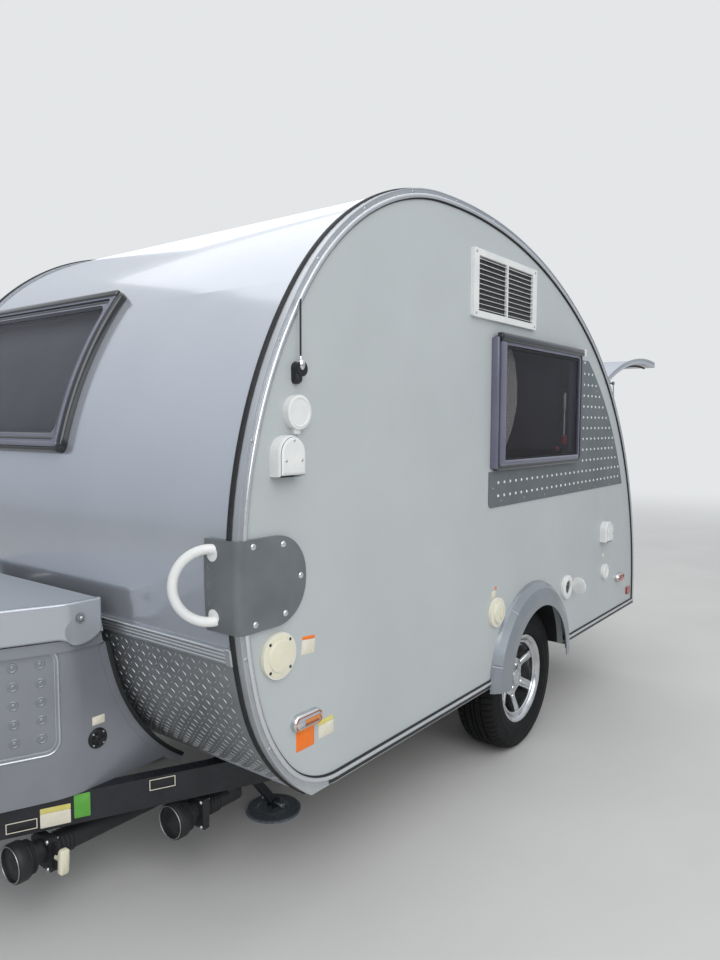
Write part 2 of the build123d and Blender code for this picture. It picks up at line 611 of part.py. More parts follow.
keep("door_pane", round_block(dx0 + 30.3, dx1 - 30.3, -HALF_W - 11, -HALF_W - 4, dz0 + 30.3, dz1 - 30.3, 29))
jamb = round_block(DOOR_X0 - 28, DOOR_X1 + 28, -HALF_W - 3.3, -HALF_W - FIT, DOOR_Z0 - 15, DOOR_Z1 + 28, DOOR_R + 20)
jamb = jamb - round_block(DOOR_X0, DOOR_X1, -HALF_W - 40, -IN_Y + 20, DOOR_Z0, DOOR_Z1, DOOR_R)
keep("door_jamb", jamb)

# tail hatch, drawn shut and then turned open about its hinge
HATCH_AXIS = on_line(H_HINGE, -HATCH_PIN_UP)


def opened(shape):
    turn = Location((HATCH_AXIS[0], 0, HATCH_AXIS[1]))
    return shape.moved(turn.inverse()).moved(Location((0, 0, 0), (0, HATCH_OPEN, 0))).moved(turn)


shell = band(3.0, INNER_D - 4, H_HINGE + GAP_H / 2, H_LOW, -HATCH_HALF, HATCH_HALF)
hollow = band(8.0, INNER_D + 6, H_HINGE + 2.2, H_LOW - 2.2, -HATCH_HALF + 60, HATCH_HALF - 60)
shell = shell - hollow
leaves = []
w = KNUCKLE_W / 2
for y in (-700.0, 0.0, 700.0):
    leaf = rod_y(HATCH_AXIS[0], HATCH_AXIS[1], KNUCKLE_R, y - w, y + w)
    leaf = leaf + band(1.0 - HATCH_PIN_UP, 3.5, H_HINGE + GAP_H / 2, H_HINGE + 1.5, y - w, y + w)
    shell = shell + (leaf - rod_y(HATCH_AXIS[0], HATCH_AXIS[1], PIN_R + RUN_FIT, y - w - 1, y + w + 1))
    fixed = rod_y(HATCH_AXIS[0], HATCH_AXIS[1], PIN_R, y - w - 20, y + w + 20)
    for ya, yb in ((y - w - 20, y - w - SIDE_GAP), (y + w + SIDE_GAP, y + w + 20)):
        fixed = fixed + rod_y(HATCH_AXIS[0], HATCH_AXIS[1], KNUCKLE_R, ya, yb)
        fixed = fixed + band(1.0 - HATCH_PIN_UP, LINE_UP - FIT, H_HINGE - 1.5, H_HINGE - GAP_H / 2, ya, yb)
    leaves = leaves + solids_of(fixed)
for s in (1, -1):
    ya, yb = sorted((s * (STRUT_Y - 38), s * (STRUT_Y - 22)))
    eye = on_line(*STRUT_EYE)
    lug = rod_y(eye[0], eye[1], 11, ya, yb)
    lug = lug + (band(INNER_D - 5, STRUT_EYE[1] + 6, STRUT_EYE[0] - 0.7, STRUT_EYE[0] + 0.7, ya, yb))
    ya, yb = sorted((s * (STRUT_Y - 23), s * (STRUT_Y - 6.5)))
    shell = shell + lug + rod_y(eye[0], eye[1], 5, ya, yb)
keep("hatch_shell", opened(shell))
liner = band(INNER_D - 4 - 6, INNER_D - 4, H_HINGE + 2.22, H_LOW - 2.22, -HATCH_HALF + 60.3, HATCH_HALF - 60.3)
keep("hatch_liner", opened(liner))
grab = band(-22.0, 2.7, H_LOW - 2.6, H_LOW - 1.6, -70, 70) - band(-12.0, 4, H_LOW - 3, H_LOW - 1, -52, 52)
keep("hatch_pull", opened(grab))

# gas struts: tube on the wall's foot pin, rod up to the hatch's stud
foot = on_line(*STRUT_FOOT)
eye_shut = Pos(eye[0], 0, eye[1]) * Box(1, 1, 1)
eye_open = opened(eye_shut).center()
strut_dx, strut_dz = eye_open.X - foot[0], eye_open.Z - foot[1]
STRUT_LONG = hypot(strut_dx, strut_dz)
STRUT_SHORT = hypot(eye[0] - foot[0], eye[1] - foot[1])
STRUT_AXIS = (strut_dx / STRUT_LONG, strut_dz / STRUT_LONG)
shut_turn = atan2(eye[0] - foot[0], eye[1] - foot[1])
STRUT_TURN = degrees(shut_turn - atan2(strut_dx, strut_dz))
STRUT_STROKE = STRUT_LONG - STRUT_SHORT
tube_end = STRUT_SHORT - STRUT_END - 12
rod_start = STRUT_STROKE + STRUT_END + 8


def along_strut(shape):
    """Places a shape drawn upwards from the origin onto the strut of the left side."""
    return Pos(foot[0], STRUT_Y, foot[1]) * Rot(0, degrees(atan2(*STRUT_AXIS)), 0) * shape


def up(r, z0, z1):
    return rod_z(0, 0, r, z0, z1)


def with_eye(shape, z):
    """Adds a flat eye across the end of a rod, bored for its pin."""
    return shape + rod_y(0, z, 10, -6, 6) - rod_y(0, z, STRUT_PIN_R + RUN_FIT, -20, 20)


tube = up(STRUT_R, STRUT_END, tube_end) - up(STRUT_R - 1.5, STRUT_END + 6, tube_end - STRUT_GLAND)
tube = tube - up(STRUT_ROD_R + RUN_FIT, STRUT_END + 6, tube_end + 1)
tube = with_eye(tube + up(5, 6, STRUT_END + 1), 0)
rod = up(STRUT_ROD_R, rod_start, STRUT_LONG - 6) + up(STRUT_R - 1.5 - RUN_FIT, rod_start, rod_start + 10)
rod = with_eye(rod, STRUT_LONG)
for side, place in (("left", along_strut), ("right", lambda shape: flip(along_strut(shape)))):
    keep("strut_tube_" + side, place(tube))
    keep("strut_rod_" + side, place(rod))
pin = rod_y(foot[0], foot[1], STRUT_PIN_R, STRUT_Y - 8, IN_Y - FIT)
pin = pin + rod_y(foot[0], foot[1], 16, IN_Y - 5, IN_Y - FIT) + rod_y(foot[0], foot[1], 7, STRUT_Y - 9, STRUT_Y - 7)
strut_pins = solids_of(both(pin))

# chassis: long rails, cross members and the drawbar
long_rail = block(SILL_X0, SILL_X1, SILL_HALF - SILL_W, SILL_HALF, BODY_Z - SILL_H, BODY_Z)
long_rail = long_rail - block(SILL_X0 - 1, SILL_X1 + 1, SILL_HALF - SILL_W - 1, SILL_HALF - RAIL_WALL, BODY_Z - SILL_H + RAIL_WALL, BODY_Z - RAIL_WALL)
slope = (SILL_HALF - DRAW_OUT) / (DRAW_X1 - DRAW_X0)
ang = atan2(slope, 1.0)
shift = (DRAW_T * sin(ang), DRAW_T * cos(ang))
quad = [(DRAW_X0, SILL_HALF), (DRAW_X1, DRAW_OUT), (DRAW_X1, DRAW_OUT - DRAW_T / cos(ang))]
quad.append((DRAW_X0 - shift[0], SILL_HALF - shift[1]))
bar = Face(Wire(Polyline(*[(p[0], p[1], DRAW_Z0) for p in quad], close=True).edges()))
bar = extrude(bar, amount=DRAW_Z1 - DRAW_Z0, dir=(0, 0, 1))
inset = (RAIL_WALL * sin(ang), RAIL_WALL * cos(ang))
core = [(DRAW_X0 - 116.0, SILL_HALF + slope * 116.0 - inset[1] / cos(ang) ** 2)]
core.append((DRAW_X1 - 190, DRAW_OUT + slope * 190 - RAIL_WALL / cos(ang)))
core = core + [(x, y - 90) for x, y in core[::-1]]
slot = Face(Wire(Polyline(*[(p[0], p[1], DRAW_Z0 + RAIL_WALL) for p in core], close=True).edges()))
bar = bar - extrude(slot, amount=DRAW_Z1 - DRAW_Z0 - 2 * RAIL_WALL, dir=(0, 0, 1))
frame = long_rail + bar
frame = frame + flip(frame)
CROSS_MEMBERS = [
    # rear face, width, depth, top
    (SILL_X0, 60.0, 100.0, BODY_Z),
    (STEADY_REAR[0] - 20, 40.0, 54.0, BODY_Z),
    (-560.0, 40.0, 60.0, BODY_Z),
    (360.0, 40.0, 60.0, BODY_Z),
    (STEADY_HINGE[0] - 20, 40.0, 44.0, DRAW_Z1),
]
for rear, wide, deep, top in CROSS_MEMBERS:
    half = SILL_HALF - SILL_W + 1
    frame = frame + block(rear, rear + wide, -half, half, top - deep, top)
frame = frame + block(DRAW_X1 - 170, DRAW_X1, -70, 70, DRAW_Z1 - 4, DRAW_Z1 + 6)
frame = frame - rod_z(JACK_X, 0, JACK_TUBE_R - 0.1 + 0.4, 200, 700)
keep("chassis", frame)

def neck(g, rear, z1):
    """Neck of the coupler in plan, shrunk by g, up to level z1."""
    plan = [(rear, 62 - g), (COUPLER_X, 40 - g), (COUPLER_X, g - 40), (rear, g - 62)]
    face = Face(Wire(Polyline(*[(x, y, DRAW_Z1 - 30) for x, y in plan], close=True).edges()))
    return extrude(face, amount=z1 - DRAW_Z1 + 30, dir=(0, 0, 1))


SOCKET_TOP = COUPLER_Z + 14
dome = Pos(COUPLER_X, 0, COUPLER_Z) * Sphere(COUPLER_R)
coupler = dome + neck(0, DRAW_X1 + FIT, DRAW_Z1 + 60)
coupler = coupler - Pos(COUPLER_X, 0, COUPLER_Z) * Sphere(COUPLER_R - COUPLER_T)
coupler = coupler - neck(COUPLER_T, DRAW_X1 + FIT + COUPLER_T, DRAW_Z1 + 60 - COUPLER_T)
coupler = coupler + rod_z(COUPLER_X, 0, BALL_R + 7, DRAW_Z1, SOCKET_TOP + 20)
coupler = coupler + block(DRAW_X1 - 20, DRAW_X1 + 60, -60, 60, DRAW_Z1 + 6.3, DRAW_Z1 + 14)
coupler = coupler - block(DRAW_X1 - 200, COUPLER_X + 170, -80, 80, DRAW_Z0 - 10, DRAW_Z1)
coupler = coupler - rod_z(COUPLER_X, 0, BALL_R, DRAW_Z0, SOCKET_TOP)
latch_foot = COUPLER_X - 170
latch_z = DRAW_Z1 + 56
coupler = coupler + block(latch_foot - 10, latch_foot + 30, -14, 14, latch_z, latch_z + 22)
coupler = coupler + beam((latch_foot, 0, latch_z + 16), (latch_foot + 120, 0, latch_z + 40), 24, 12)
keep("coupler", coupler)

# axle: torsion beam, arms and hubs
beam_x = 80.0
beam_z = BODY_Z - SILL_H - 36.0
axle = block(beam_x - 36, beam_x + 36, -SILL_HALF, SILL_HALF, beam_z - 36, beam_z + 35.8)
ARM_W = 26.0
arm_y = SILL_HALF + 17.0
arm_out = arm_y + ARM_W / 2
arm = beam((beam_x + 20, arm_y, beam_z - 4), (AXLE_X - 20, arm_y, TYRE_R), ARM_W, 62)
arm = arm + block(beam_x - 36, beam_x + 36, SILL_HALF - 4, arm_out, beam_z - 36, beam_z + 35.8)
arm = arm + rod_y(AXLE_X, TYRE_R, 34.0, arm_out - 1, DRUM_Y0 + 1)
arm = arm + rod_y(AXLE_X, TYRE_R, DRUM_R, DRUM_Y0, DRUM_Y1)
arm = arm + rod_y(AXLE_X, TYRE_R, SPINDLE_R, DRUM_Y1 - 1, HUB_FACE + 3)
axle = axle + arm + flip(arm)
keep("axle", axle)

# wheels
T_IN = WHEEL_FACE - TYRE_W
tread_half = TYRE_W / 2 - 22
mid_y = WHEEL_FACE - TYRE_W / 2
tp = [(RIM_R + 0.3, -78), (RIM_R + 19, -79), (RIM_R + 24, -90), (RIM_R + 66, -102.5), (TYRE_R - 34, -98), (TYRE_R - 10, -84), (TYRE_R, -66)]
tp = tp + [(r, -y) for r, y in tp[::-1]]
tp = tp + [(RIM_R + 0.3, 62), (RIM_R + 40, 62), (RIM_R + 40, -62), (RIM_R + 0.3, -62)]
loop = Polyline(*[(p[0], mid_y + p[1], 0) for p in tp[:14]], close=True)
tyre = revolve(Face(Wire(loop.edges())), Axis.Y, 360)
core = Pos(0, mid_y, 0) * Rot(90, 0, 0) * Cylinder(TYRE_R - 60, 124)
tyre = tyre - core
tyre = tyre.moved(Location((AXLE_X, 0, TYRE_R)))

barrel_loop = [(208, 86), (208, 79.5), (RIM_R, 78.5), (RIM_R, -78.5), (208, -79.5)]
barrel_loop = barrel_loop + [(208, -86), (200, -86), (180, -72), (178, 66), (198, 86)]
loop = Polyline(*[(r, mid_y + y, 0) for r, y in barrel_loop], close=True)
rim = revolve(Face(Wire(loop.edges())), Axis.Y, 360)
dish_loop = [
    # radius, out from the mounting face
    (0, 0), (78, 0), (112, 14), (181, 40), (181, 58), (150, 50), (112, 34), (84, 27), (42, 27), (38, 48), (30, 52), (0, 52),
]
loop = Polyline(*[(r, HUB_FACE + y, 0) for r, y in dish_loop], close=True)
dish = revolve(Face(Wire(loop.edges())), Axis.Y, 360)
lean = tan(radians(180.0 / SPOKES))
side_gap = SPOKE_HALF / cos(radians(180.0 / SPOKES))
r_in, r_out = 90.0, 171.0
window = Polyline(
    (r_in * lean - side_gap, 0, r_in), (r_out * lean - side_gap, 0, r_out),
    (side_gap - r_out * lean, 0, r_out), (side_gap - r_in * lean, 0, r_in), close=True)
window = extrude(Face(Wire(window.edges())).moved(Location((0, HUB_FACE - 20, 0))), amount=100, dir=(0, 1, 0))
window = fillet(window.edges().filter_by(Axis.Y), 9)
for k in range(SPOKES):
    dish = dish - Rot(0, 360 / SPOKES * (k + 0.5), 0) * window
for k in range(WHEEL_BOLTS):
    dish = dish - Rot(0, 360 / WHEEL_BOLTS * k + 20, 0) * rod_y(0, BOLT_CIRCLE_R, 12, HUB_FACE + 12, HUB_FACE + 60)
rim = rim + dish
rim = rim + Pos(0, (DRUM_Y1 + 6 + HUB_FACE) / 2, 0) * Rot(90, 0, 0) * Cylinder(58, HUB_FACE + 1 - DRUM_Y1 - 6)
bore_len = HUB_FACE + 6 - DRUM_Y1 + 10
rim = rim - Pos(0, HUB_FACE + 6 - bore_len / 2, 0) * Rot(90, 0, 0) * Cylinder(SPINDLE_R + RUN_FIT, bore_len)
rim = rim.moved(Location((AXLE_X, 0, TYRE_R)))
keep("tyre_left", tyre)
keep("tyre_right", flip(tyre))
keep("rim_left", rim)
keep("rim_right", flip(rim))

# jack
tube = rod_z(JACK_X, 0, JACK_TUBE_R, JACK_LOW, JACK_TOP)
tube = tube - rod_z(JACK_X, 0, JACK_LEG_R + 5.2, JACK_LOW - 10, JACK_TOP - 20)
tube = tube + (rod_z(JACK_X, 0, 62, DRAW_Z1 + 6.3, DRAW_Z1 + 14) - rod_z(JACK_X, 0, JACK_TUBE_R - 1, 300, 500))
crank = block(JACK_X - 8, JACK_X + 8, -120, 8, JACK_TOP - 2, JACK_TOP + 14) + rod_z(JACK_X, -112, 12, JACK_TOP + 10, JACK_TOP + 90)
guide = rod_z(JACK_X, 0, JACK_TUBE_R - 1, JACK_LOW, JACK_LOW + 22)
guide = guide - rod_z(JACK_X, 0, JACK_LEG_R + RUN_FIT, JACK_LOW - 10, JACK_LOW + 30)
keep("jack_tube", tube + crank + guide)
leg = rod_z(JACK_X, 0, JACK_LEG_R, 4, 560) + rod_z(JACK_X, 0, JACK_FOOT_R, 0, 6) + rod_z(JACK_X, 0, 34, 5, 24)
keep("jack_leg", leg)

# corner steadies
def channel(p, q, w, h, t):
    """Bar as beam, open along its upper side like a pressed channel."""
    dx, dz = q[0] - p[0], q[2] - p[2]
    length = hypot(dx, dz)
    turn = -degrees(atan2(dz, dx))
    place = Pos((p[0] + q[0]) / 2, p[1], (p[2] + q[2]) / 2) * Rot(0, turn, 0)
    return place * (Box(length, w, h) - Pos(0, 0, t) * Box(length - 50, w - 2 * t, h))


def steady(hinge, foot, y):
    leg = channel((foot[0], y, foot[1]), (hinge[0], y, hinge[1]), LEG_W, LEG_H, LEG_T)
    leg = leg + rod_y(hinge[0], hinge[1], LEG_H / 2, y - LEG_W / 2, y + LEG_W / 2)
    leg = leg + rod_y(foot[0], foot[1], LEG_H / 2, y - LEG_W / 2, y + LEG_W / 2)
    plate = [(0, 0), (PAD_R, 0), (PAD_R, PAD_T), (PAD_R - 10, PAD_T + 3), (66, PAD_T), (58, PAD_T + 5), (0, PAD_T + 5)]
    ring = Polyline(*[(foot[0] + r, y, z) for r, z in plate], close=True)
    leg = leg + revolve(Face(Wire(ring.edges())), Axis((foot[0], y, 0), (0, 0, 1)), 360)
    for ya in (y - LEG_W / 2 - 6.0, y + LEG_W / 2 - 0.5):
        leg = leg + block(foot[0] - 18, foot[0] + 18, ya, ya + 6.5, PAD_T + 4, foot[1] + 14)
    leg = leg + rod_y(foot[0], foot[1], 6, y - LEG_W, y + LEG_W)
    return leg - rod_y(hinge[0], hinge[1], 8 + RUN_FIT, y - 40, y + 40)


def bracket(hinge, y, top):
    ears = block(hinge[0] - 17, hinge[0] + 17, y - 25, y - 19, hinge[1] - 16, top)
    ears = ears + block(hinge[0] - 17, hinge[0] + 17, y + 19, y + 25, hinge[1] - 16, top)
    return ears + rod_y(hinge[0], hinge[1], 8, y - 30, y + 30)


FOOT_REAR = (STEADY_REAR[0] + STEADY_HINGE[0] - STEADY_FOOT[0], STEADY_FOOT[1])
brs = []
for y in (STEADY_Y, -STEADY_Y):
    brs = brs + solids_of(bracket(STEADY_HINGE, y, 359.7)) + solids_of(bracket(STEADY_REAR, y, 359.7))
keep("steady_brackets", Compound(children=brs))
keep("steady_front_left", steady(STEADY_HINGE, STEADY_FOOT, STEADY_Y))
keep("steady_front_right", steady(STEADY_HINGE, STEADY_FOOT, -STEADY_Y))
keep("steady_rear_left", steady(STEADY_REAR, FOOT_REAR, STEADY_Y))
keep("steady_rear_right", steady(STEADY_REAR, FOOT_REAR, -STEADY_Y))

# tub on the drawbar
def tub_plan(g, z0, z1):
    """Plan of the tub shrunk by g, as a prism."""
    p = [(1400.0, TUB_HALF - g), (TUB_BEND_X, TUB_HALF - g), (TUB_FRONT_X - g, TUB_FRONT_HALF - g * 0.8)]
    p = p + [(x, -y) for x, y in p[::-1]]
    face = Face(Wire(Polyline(*[(x, y, z0) for x, y in p], close=True).edges()))
    bends = [v for v in face.vertices() if abs(v.X - TUB_BEND_X) < 1]
    return extrude(fillet(bends, TUB_BEND_R - g), amount=z1 - z0, dir=(0, 0, 1))


def slant(s, z, out):
    """Plane on the tub's left slanting side: s along it from the bend, facing outwards."""
    dx, dy = TUB_FRONT_X - TUB_BEND_X, TUB_FRONT_HALF - TUB_HALF
    run = hypot(dx, dy)
    ux, uy = dx / run, dy / run
    place = (TUB_BEND_X + s * ux - out * uy, TUB_HALF + s * uy + out * ux, z)
    return Plane(origin=place, x_dir=(ux, uy, 0), z_dir=(-uy, ux, 0))


def panel(grow, out0, out1):
    """Rounded panel on the slanting side, between two distances from it."""
    run = hypot(TUB_FRONT_X - TUB_BEND_X, TUB_FRONT_HALF - TUB_HALF)
    wide = run - 2 * PANEL_IN + 2 * grow
    high = PANEL_Z1 - PANEL_Z0 + 2 * grow
    face = slant(run / 2, (PANEL_Z0 + PANEL_Z1) / 2, out0) * RectangleRounded(wide, high, PANEL_R + grow)
    return extrude(face, amount=out1 - out0)


tub = tub_plan(0, TUB_Z0, TUB_Z1) - whole(-TUB_GAP, -900, 900, 380)
tub_in = tub_plan(TUB_T, TUB_Z0 + TUB_T, TUB_Z1 + 50) - whole(-TUB_GAP - TUB_T, -900, 900, 380)
tub = tub - tub_in
pressed = panel(TUB_T, -PANEL_DEEP - TUB_T, -1) + panel(BEAD_W, -1, 3)
tub = tub + pressed + flip(pressed)
pocket = panel(0, -PANEL_DEEP, 20)
tub = tub - pocket - flip(pocket)
rim_top = tub_plan(-TUB_RIM, TUB_Z1 - 34, TUB_Z1) - whole(-TUB_GAP + 2, -900, 900, 380) - tub_plan(0, 0, 2000)
tub = tub + rim_top
for s in (1, -1):
    ya, yb = sorted((s * (TUB_HALF + 4), s * (TUB_HALF + 10)))
    ear = block(LID_HINGE[0] - 26, LID_HINGE[0] + 26, ya, yb, TUB_Z1 - 20, LID_HINGE[1])
    ear = ear + rod_y(LID_HINGE[0], LID_HINGE[1], 26, ya, yb)
    ya, yb = sorted((s * (TUB_HALF + 4), s * (TUB_HALF + 30)))
    ear = ear + rod_y(LID_HINGE[0], LID_HINGE[1], LID_PIN_R, ya, yb)
    ya, yb = sorted((s * (TUB_HALF + 24 + SIDE_GAP), s * (TUB_HALF + 30)))
    ear = ear + rod_y(LID_HINGE[0], LID_HINGE[1], 11, ya, yb)
    tub = tub + ear
keep("tongue_tub", tub)

lid = tub_plan(-24, TUB_Z1 + 8, LID_TOP) - whole(-TUB_GAP + 2, -900, 900, 380)
lid = lid - (tub_plan(-18, TUB_Z1 - 30, LID_TOP - 8) - whole(-TUB_GAP - 6, -900, 900, 380))
lid = lid - block(1400, LID_HINGE[0] - 5, -TUB_HALF - 15, TUB_HALF + 15, 800, LID_TOP - 12)
for s in (1, -1):
    ya, yb = sorted((s * (TUB_HALF + 18), s * (TUB_HALF + 24)))
    lid = lid + rod_y(LID_HINGE[0] + 4, LID_HINGE[1] - 38, 44, ya, yb)
    lid = lid - rod_y(LID_HINGE[0], LID_HINGE[1], LID_PIN_R + RUN_FIT, ya - 5, yb + 5)
keep("tub_lid", lid)

# waste outlets: elbow under the floor, slide valve with its pull, bayonet cap
def outlet(x0, x1, y, z, side):
    pipe = rod_x(y, z, PIPE_R, x0, x1 - 20) + rod_z(x0 + PIPE_R, y, PIPE_R, z, BODY_Z)
    cap = rod_x(y, z, CAP_R - 8, x1 - 62, x1 - 30) + rod_x(y, z, CAP_R, x1 - 40, x1)
    cap = cap - rod_x(y, z, CAP_R - 8, x1 - 6, x1 + 1)
    flange = round_block(x1 - 122, x1 - 94, y - 52, y + 52, z - 52, z + 52, 6)
    ya, yb = sorted((y + side * 50, y + side * 74))
    blade = block(x1 - 111, x1 - 105, ya, yb, z - 40, z + 40)
    ya, yb = sorted((y + side * 70, y + side * 104))
    pull = rod_y(x1 - 108, z, 5, ya, yb)
    ya, yb = sorted((y + side * 102, y + side * 114))
    pull = pull + block(x1 - 118, x1 - 98, ya, yb, z - 34, z + 34)
    return pipe + cap + flange + blade + pull


keep("waste_outlets", Compound(children=[s for row in DRAINS for s in solids_of(outlet(*row))]))

# cabin fit-out
bulk = inside & block(-1062, -1048, -HALF_W, HALF_W, FLOOR_TOP, 2600)
keep("bulkhead", bulk)

galley = inside & block(-1700, -1062.3, -HALF_W, HALF_W, COUNTER_Z0, COUNTER_Z1)
shelf = block(-1250, -1062.3, -IN_Y + FIT, IN_Y - FIT, 1350, 1366)
mid_post = block(-1512, -1062.3, -9, 9, FLOOR_TOP, COUNTER_Z0)
galley = galley + mid_post
galley = galley - block(-1500, -1180, 330, 760, 800, 900)
keep("galley_unit", Compound(children=[*solids_of(galley), *solids_of(shelf)]))
bowl = block(-1510, -1170, 320, 770, 838.3, 842) + block(-1499, -1181, 331, 759, 700, 839)
bowl = bowl - block(-1496, -1184, 334, 756, 703, 900)
stove = block(-1500, -1180, -760, -330, 838.3, 850)
for sx in (-1340,):
    for sy in (-650.0, -440.0):
        stove = stove + (rod_z(sx, sy, 62, 849, 866) - rod_z(sx, sy, 44, 852, 880))
keep("sink_and_stove", Compound(children=[*solids_of(bowl), *solids_of(stove)]))

BENCH_Z = ARCH_Z + ARCH_R + LINER_T + 12.0    # seat boards just over the wheel pockets
BOARD_T = 12.0
CUSHION_T = 100.0
seat_z = BENCH_Z + BOARD_T + FIT
bench = block(-1047.7, 420, 400, 414, FLOOR_TOP, BENCH_Z)
bench = bench + block(-1047.7, 420, 400, IN_Y - FIT, BENCH_Z, BENCH_Z + BOARD_T)
bench = bench + block(408, 420, 413, IN_Y - FIT, FLOOR_TOP, BENCH_Z + 1)
keep("benches", both(bench))
cush = round_block(-1047, 418, 402, IN_Y - 4, seat_z, seat_z + CUSHION_T, 20)
back = block(-1047, 380, IN_Y - 84, IN_Y - 2, seat_z + CUSHION_T + 1, 1290)
keep("cushions", Compound(children=[*solids_of(both(cush)), *solids_of(both(back))]))

kit = block(1120, 1138, -HALF_W, -20, FLOOR_TOP, 1150) + block(1120, 2000, -38, -20, FLOOR_TOP, 1150)
kit = inside & (kit + block(1106, 2000, -HALF_W, -20, 1150, 1180))
keep("kitchen_unit", kit)
bath = inside & (block(1120, 1138, 58, HALF_W, FLOOR_TOP, 2600) + block(1120, 2000, 40, 58, FLOOR_TOP, 2600))
bath = bath - block(1100, 1150, 330, 860, 540, 2000)
keep("washroom_walls", bath)

# roof vent
vent = vent_loc * (Pos(0, 0, 12.0) * Box(2 * VENT_HALF, 2 * VENT_HALF, 24) - Pos(0, 0, 12) * Box(2 * VENT_HALF - 60, 2 * VENT_HALF - 60, 60))
vent = vent - whole(LINE_UP - FIT, -900, 900, 380)
keep("roof_vent", vent)
VENT_LID_T = 34.0
vlid = vent_loc * (Pos(0, 0, 24.5 + 5 + VENT_LID_T / 2) * Box(2 * VENT_HALF + 10, 2 * VENT_HALF + 10, VENT_LID_T))
vlid = vlid - vent_loc * (Pos(0, 0, 24.5 + 5 + VENT_LID_T / 2 - 5) * Box(2 * VENT_HALF, 2 * VENT_HALF, VENT_LID_T))
keep("roof_vent_lid", vlid)
for y in (-120.0, 120.0):
    ax, az = VENT_HALF + VENT_PIN[0], VENT_PIN[1]
    knuckle = rod_y(ax, az, 6, y - 15, y + 15) + block(VENT_HALF + 4, ax, y - 15, y + 15, az - 4, az + 6)
    knuckle = knuckle - rod_y(ax, az, 3 + RUN_FIT, y - 16, y + 16)
    vlid = vlid + vent_loc * knuckle
    stay = rod_y(ax, az, 3, y - 28, y + 28)
    for ya, yb in ((y - 28, y - 15 - SIDE_GAP), (y + 15 + SIDE_GAP, y + 28)):
        stay = stay + rod_y(ax, az, 6, ya, yb) + block(ax - 6, ax + 6, ya, yb, 8, az)
        stay = stay + block(VENT_HALF - 1, ax + 6, ya, yb, 8, 22)
    vent = vent + vent_loc * stay
PARTS["roof_vent"] = vent
PARTS["roof_vent_lid"] = vlid
VENT_HINGE = (vent_loc * Pos(VENT_HALF + VENT_PIN[0], 0, VENT_PIN[1])).position
keep("hinge_leaves", Compound(children=leaves + door_leaves + strut_pins))

# centre the whole along X
lo = min(s.bounding_box().min.X for s in PARTS.values())
hi = max(s.bounding_box().max.X for s in PARTS.values())
XC = (lo + hi) / 2

if __name__ == "__main__":
    for name, shape in PARTS.items():
        export_step(shape.moved(Location((-XC, 0, 0))), "parts/" + name + ".step")
    print("centre shift", XC, "nodes", len(PARTS))
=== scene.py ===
"""Looks of a teardrop travel trailer, parked on its wheels, jack and steadies with the tail hatch open.

Shapes are drawn in millimetres in the part's own drawing frame (+X to the hitch, +Y left,
+Z up, ground at Z 0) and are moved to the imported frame, in metres, as they become meshes.
"""
from math import cos, hypot, pi, radians, sin

import bmesh
import bpy
import numpy as np
from mathutils import Matrix, Vector
from mathutils.bvhtree import BVHTree


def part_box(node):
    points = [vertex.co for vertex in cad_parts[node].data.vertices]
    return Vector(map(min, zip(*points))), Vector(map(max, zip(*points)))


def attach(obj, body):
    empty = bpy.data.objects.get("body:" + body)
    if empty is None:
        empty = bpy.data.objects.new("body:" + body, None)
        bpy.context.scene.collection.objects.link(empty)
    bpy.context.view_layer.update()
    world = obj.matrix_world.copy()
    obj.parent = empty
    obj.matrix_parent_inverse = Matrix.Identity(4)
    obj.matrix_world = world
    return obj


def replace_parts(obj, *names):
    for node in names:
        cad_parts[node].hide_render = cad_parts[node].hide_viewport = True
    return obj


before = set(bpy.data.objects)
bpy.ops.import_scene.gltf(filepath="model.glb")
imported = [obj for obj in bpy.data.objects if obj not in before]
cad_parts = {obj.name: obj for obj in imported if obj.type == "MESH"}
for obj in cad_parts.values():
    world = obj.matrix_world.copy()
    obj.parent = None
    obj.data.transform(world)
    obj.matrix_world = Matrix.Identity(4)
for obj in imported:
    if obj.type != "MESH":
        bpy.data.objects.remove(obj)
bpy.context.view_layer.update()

# sizes of the drawing, in millimetres
FLOOR_TAIL_X = -1586.2
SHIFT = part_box("floor_deck")[0].x * 1000 - FLOOR_TAIL_X
HALF_W = 990.0
BODY_Z = 414.0
TRIM_T = 4.0
SKIN_DOWN = 5.0
ARCH_X, ARCH_R = -75.0, 395.0
AXLE_X, TYRE_R, TYRE_W, WHEEL_FACE = -65.0, 336.0, 205.0, 965.0
OUTLINE_START = (1522.0, BODY_Z)
OUTLINE_HEADING = 34.0
OUTLINE_ARCS = [
    # radius, turn in degrees
    (625.0, 41.0),
    (1430.0, 51.0),
    (1025.0, 50.0),
    (2635.0, 34.5),
    (1800.0, 59.5),
]
TAIL_HEADING = 270.0
CORNER_HEADING = 50.0


def outline(h, d=0.0):
    """Points of the body outline at headings h, moved d inwards: every arc turns from its own
    centre, a point lies at centre + (radius - d) * (sin h, -cos h), and each heading picks the
    arc that holds it."""
    h = np.asarray(h, float)
    x, z = OUTLINE_START
    a = OUTLINE_HEADING
    out = np.zeros(h.shape + (2,))
    for r, turn in OUTLINE_ARCS:
        cx, cz = x - r * sin(radians(a)), z + r * cos(radians(a))
        here = (h >= a - 1e-9) if a > OUTLINE_HEADING else np.ones(h.shape, bool)
        point = np.stack([cx + (r - d) * np.sin(np.radians(h)), cz - (r - d) * np.cos(np.radians(h))], -1)
        out = np.where(here[..., None], point, out)
        a += turn
        x, z = cx + r * sin(radians(a)), cz - r * cos(radians(a))
    return out


def heading_of(z, low, high):
    """Heading between low and high where the outline passes level z, by interpolation."""
    h = np.linspace(low, high, 400)
    level = outline(h)[:, 1]
    order = np.argsort(level)
    return float(np.interp(z, level[order], h[order]))


# shapes: a pair of an array of points and a list of face arrays


